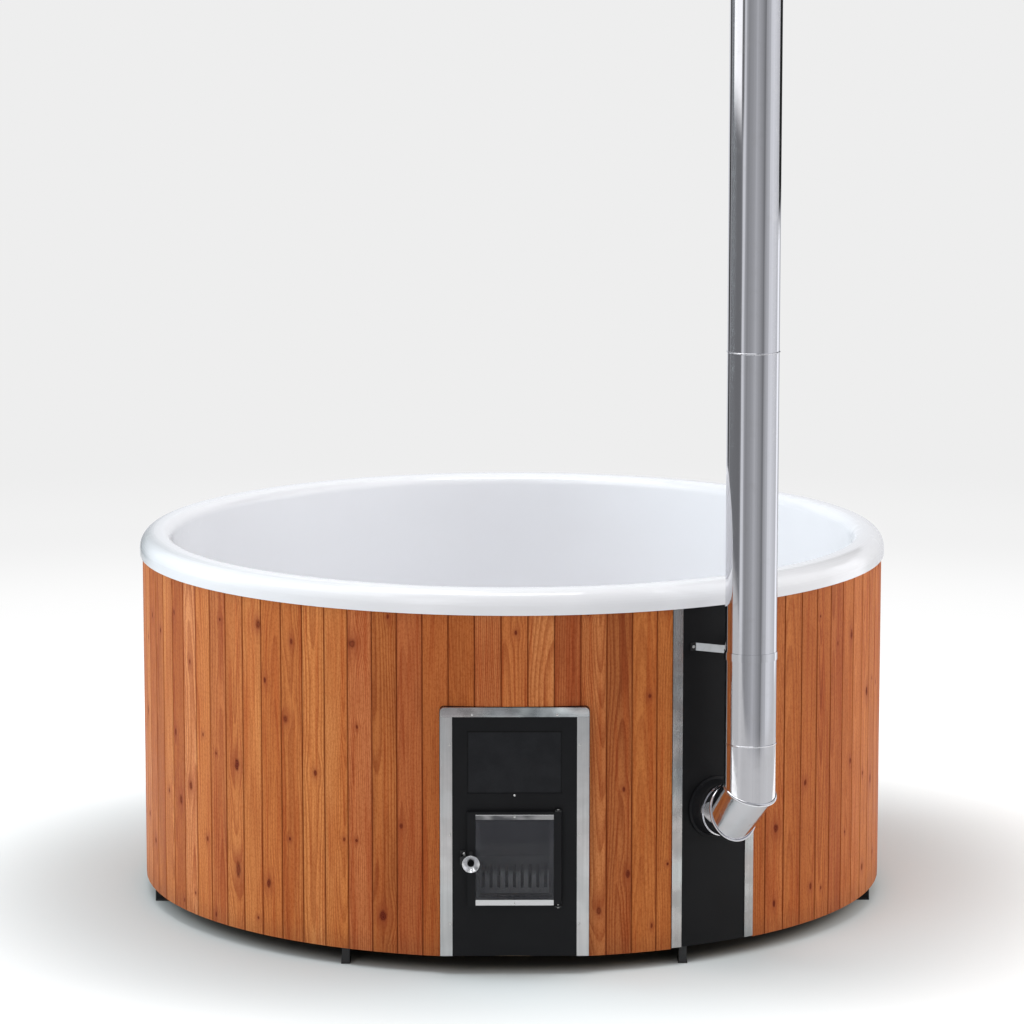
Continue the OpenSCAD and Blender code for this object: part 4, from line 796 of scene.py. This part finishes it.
def seal_rope():
    """Three-strand rope round the door's back: a rounded rectangle for its path, and across
    it a radius that falls off as |cos 1.5(t - twist)|, the twist growing along the path."""
    half_x, low, high, bend, back_y = 0.1015, 0.1991, 0.4150, 0.012, -1.0183
    half_wide, half_deep, strand_turns = 0.0022, 0.0020, 70
    corner = np.linspace(0, np.pi / 2, 12)
    centres = [(half_x - bend, high - bend), (bend - half_x, high - bend)]
    centres += [(bend - half_x, low + bend), (half_x - bend, low + bend)]
    turns = [corner + i * np.pi / 2 for i in range(4)]
    arcs = [bend * np.stack([np.cos(t), np.sin(t)], -1) for t in turns]
    path = [centre + arc for centre, arc in zip(centres, arcs)]
    path = np.concatenate(path + [path[0][:1]])
    way = np.concatenate([[0], np.cumsum(np.linalg.norm(np.diff(path, axis=0), axis=1))])
    spots = np.linspace(0, way[-1], 640, endpoint=False)
    x, z = (np.interp(spots, way, path[:, i])[:, None] for i in (0, 1))
    ahead = np.stack([np.roll(v, -1, 0) - np.roll(v, 1, 0) for v in (x, z)])
    ahead = ahead / np.linalg.norm(ahead, axis=0)
    turn = turns_round(24)[None, :]
    twist = FULL_TURN * strand_turns * spots[:, None] / way[-1]
    swell = 0.80 + 0.20 * np.abs(np.cos(1.5 * (turn - twist)))
    out, deep = half_wide * swell * np.cos(turn), half_deep * swell * np.sin(turn)
    grid = np.stack([x + ahead[1] * out, back_y + deep, z - ahead[0] * out], -1)
    add_piece("seal_rope", [grid], rope, "stove_door", "door_seal", ringed=True)


def spun_knob():
    """The door's knob: its radius outside is 11 + 11 u**1.8 mm at the share u of its length.
    Inside the mouth a cone runs in to a small black bore round the nut."""
    share = np.linspace(0, 1, 26)
    outer = [0.011 + 0.011 * share**1.8, 0.003 + 0.039 * share]
    lip = np.linspace(0, np.pi, 8)[1:]
    lip = [0.0214 + 0.0006 * np.cos(lip), 0.0418 + 0.0006 * np.sin(lip)]
    way = np.linspace(0, 1, 16)[1:]
    cone = [0.0208 - 0.0116 * way, 0.0418 - 0.0110 * way]
    bore = [(0.0092, 0.022), (0.0092, 0.003), (0.0046, 0.003), (0.0046, 0), (0.011, 0)]
    profile = np.concatenate([outer, lip, cone, np.array(bore).T], 1)
    radius, height = profile[:, :, None]
    turn = turns_round(72)[None, :]
    x, z = KNOB_X + radius * np.cos(turn), KNOB_Z + radius * np.sin(turn)
    grid = np.stack([x, KNOB_Y - height + 0 * turn, z], -1)
    add_piece("spun_knob", [grid], chrome, "door_handle", "handle_knob", True)


bracket_fixings()
elbow_seams()
pipe_seams()
seal_rope()
spun_knob()


# ---------------------------------------------------------------- studio


def sheet_of(name, grid, finish):
    """A stage surface from a grid of points, rows by columns."""
    rows, columns = grid.shape[:2]
    index = np.arange(rows * columns).reshape(rows, columns)
    thing = linked(name, smooth_mesh(name, grid.reshape(-1, 3), faces_between(index), finish))
    return thing


def grey_stops(pairs):
    """Stops for a ramp of greys, from pairs of a value and its brightness."""
    return [(at, (grey, grey, grey)) for at, grey in pairs]


def seen_share(m):
    """1 for camera, glossy and transmission rays, and 0 for the light that falls on things."""
    seen = [m.add("ShaderNodeLightPath", out=i) for i in (0, 3, 6)]
    return (seen[0] + seen[1] + seen[2]).math("MINIMUM", 1.0)


def studio_floor():
    """A wide disc: radius times the cosine and sine of the turn. Its colour is painted dark
    under the tub, as painted shadow. Near the tub it shows the light and the shadow there;
    there its colour is also painted a little cooler, against the boards' warm bounce light, and
    painted greyer on the left and in front, as painted shadow where the shadow is deeper.
    Further out it is lifted to white, and far out it goes over to the backdrop's pale grey."""
    m = Finish("pale_floor")
    x, y, _ = m.place()
    out = (x * x + y * y).math("SQRT")
    seen = seen_share(m)
    side = ((x * -0.9 - y * 0.35) / out).ease(0.1, 0.9)
    # Painted: a cooler tone near the tub, set against the boards' warm bounce light.
    pale = m.blend(out.ease(1.0, 2.0), (0.745, 0.79, 0.805), (0.81, 0.81, 0.81))
    # Painted shadow: greyer near the tub on the left and in front.
    pale = m.blend((1 - out.ease(0.95, 1.9)) * side * 0.62, pale, (0.42, 0.43, 0.43))
    # Painted shadow: dark under the tub.
    pale = m.blend(out.ease(0.90, 1.03), (0.13, 0.135, 0.14), pale)
    diffuse = m.add("ShaderNodeBsdfDiffuse", (), {0: pale})
    lift = m.glow((1.0, 1.0, 1.0), out.ease(1.2, 2.3) * seen * 0.42)
    lit = m.add("ShaderNodeAddShader", (), {0: diffuse, 1: lift})
    far = 14.0
    greys = grey_stops([(0.0, 1.0), (0.30, 1.0), (0.443, 0.887), (0.57, BACKDROP)])
    shares = {0: out.ease(1.9, 4.6) * seen, 1: lit, 2: m.glow(m.ramp(greys, out / far))}
    m.show(m.add("ShaderNodeMixShader", (), shares))
    radius = np.concatenate([[0.001], np.geomspace(0.5, 90, 24)])[:, None]
    turn = np.linspace(0, FULL_TURN, 97)[None, :]
    grid = np.stack([radius * np.cos(turn), radius * np.sin(turn), 0 * radius * turn], -1)
    sheet_of("studio_floor", grid, m.material)


def studio_world():
    """Soft all-round light, and the backdrop's pale grey wherever the camera or a
    reflection looks past the floor."""
    world = bpy.data.worlds.new("studio_light")
    bpy.context.scene.world = world
    m = Finish("studio_light", world=world)
    strength = WORLD_LIGHT + seen_share(m) * (BACKDROP - WORLD_LIGHT)
    background = m.add("ShaderNodeBackground", (), {0: (1.0, 1.0, 1.0), 1: strength})
    m.show(background, "ShaderNodeOutputWorld")


# The round wall's bands: degrees about the flue from the view's middle, and brightness.
WALL_TONES = [
    (-180, 0.8), (-154, 0.8), (-142, 0.03), (-136, 0.03), (-129, 0.34), (-118, 0.20),
    (-66, 0.19), (-60, 0.25), (-54, 0.80), (-48, 0.78), (-40, 0.40), (-33, 0.31),
    (-20, 0.36), (-8, 0.42), (4, 0.53), (12, 0.46), (24, 0.37), (32, 0.30),
    (38, 0.21), (45, 0.42), (56, 0.56), (67, 0.76), (80, 0.86), (95, 0.75),
    (112, 0.66), (119, 0.60), (124, 1.2), (138, 1.2), (144, 0.5), (180, 0.8),
]


def reflected_wall():
    """The studio's round wall, which only reflections see: a tube round the tub whose
    brightness changes with the turn about the flue, so that bright metal shows upright bands.
    High up on its left is a bright window, and far round to the right a dark edge. Low down
    the bands give way to an even grey, on the left sooner."""
    m = Finish("studio_wall")
    x, y, z = m.place()
    turn = (x - PIPE_X).math("ARCTAN2", (y - PIPE_Y) * -1) / FULL_TURN + 0.5
    stops = grey_stops([(degrees / 360 + 0.5, tone) for degrees, tone in WALL_TONES])
    tone = m.tinted(1.0, m.ramp(stops, turn), (0.985, 1.0, 1.05))
    aim = (turn - 0.5) * 360
    high = z.ease(1.94, 2.14)
    left = aim.ease(-114, -108) * (1 - aim.ease(-66, -61))
    tone = m.blend(high * left, tone, (1.3, 1.3, 1.32))
    line = (aim + 56).bell(3.5)
    tone = m.blend(high * line, tone, (0.12, 0.12, 0.12))
    right = aim.ease(121, 125) * (1 - aim.ease(160, 168))
    tone = m.blend(z.ease(1.66, 1.78) * right, tone, (0.02, 0.02, 0.02))
    ends = 0.34 + aim.ease(-20, -70) * 0.26
    low = 1 - (z - ends).ease(-0.06, 0.06)
    tone = m.blend(low * 0.85, tone, (0.68, 0.68, 0.69))
    m.show(m.glow(tone))
    wall_out = 2.4
    turns = np.linspace(0, FULL_TURN, 129)[None, :]
    height = np.linspace(0.02, 5.5, 4)[:, None]
    flat = 0 * height * turns
    x, y = wall_out * np.cos(turns) + flat, wall_out * np.sin(turns) + flat
    grid = np.stack([x, y, height + flat], -1)
    wall = sheet_of("studio_wall", grid, m.material)
    wall.visible_camera = wall.visible_diffuse = False
    wall.visible_shadow = wall.visible_transmission = False


def softbox(name, place, aim, wide, high, watts, colour=(1.0, 1.0, 1.0)):
    """A rectangular lamp at one point, turned to face another."""
    lamp = bpy.data.lights.new(name, "AREA")
    lamp.shape = "RECTANGLE"
    lamp.size, lamp.size_y, lamp.energy, lamp.color = wide, high, watts, colour
    thing = linked(name, lamp)
    x, y, z = np.array(place, float) - np.array(aim, float)
    thing.location = place
    thing.rotation_euler = math.atan2(math.hypot(x, y), z), 0, math.atan2(x, -y)


def photo_camera():
    """A long lens twelve metres off and three metres up, looking nine degrees down."""
    data = bpy.data.cameras.new("photo_camera")
    data.lens, data.sensor_width = 155.04, 36.0
    data.clip_start, data.clip_end = 0.5, 400.0
    camera = linked("photo_camera", data)
    camera.location = (-0.0774, -11.9858, 2.973)
    camera.rotation_euler = (math.radians(90 - 9.17), 0, math.radians(-0.37))
    bpy.context.scene.camera = camera


studio_floor()
studio_world()
reflected_wall()
photo_camera()
softbox("left_softbox", (-6.0, 1.2, 2.6), (0, 0, 0.6), 3.0, 4.0, 252, (0.81, 0.95, 1.0))
softbox("right_softbox", (6.0, 0.3, 2.6), (0, 0, 0.6), 3.0, 4.0, 196, (1.0, 0.985, 0.96))
softbox("top_softbox", (-1.0, -1.2, 6.3), (0, 0.2, 0), 5.0, 4.0, 188)
softbox("fill_softbox", (-4.2, -8.0, 5.0), (0, 0, 0.6), 4.0, 4.0, 190)
bpy.context.scene.view_settings.view_transform = "Standard"
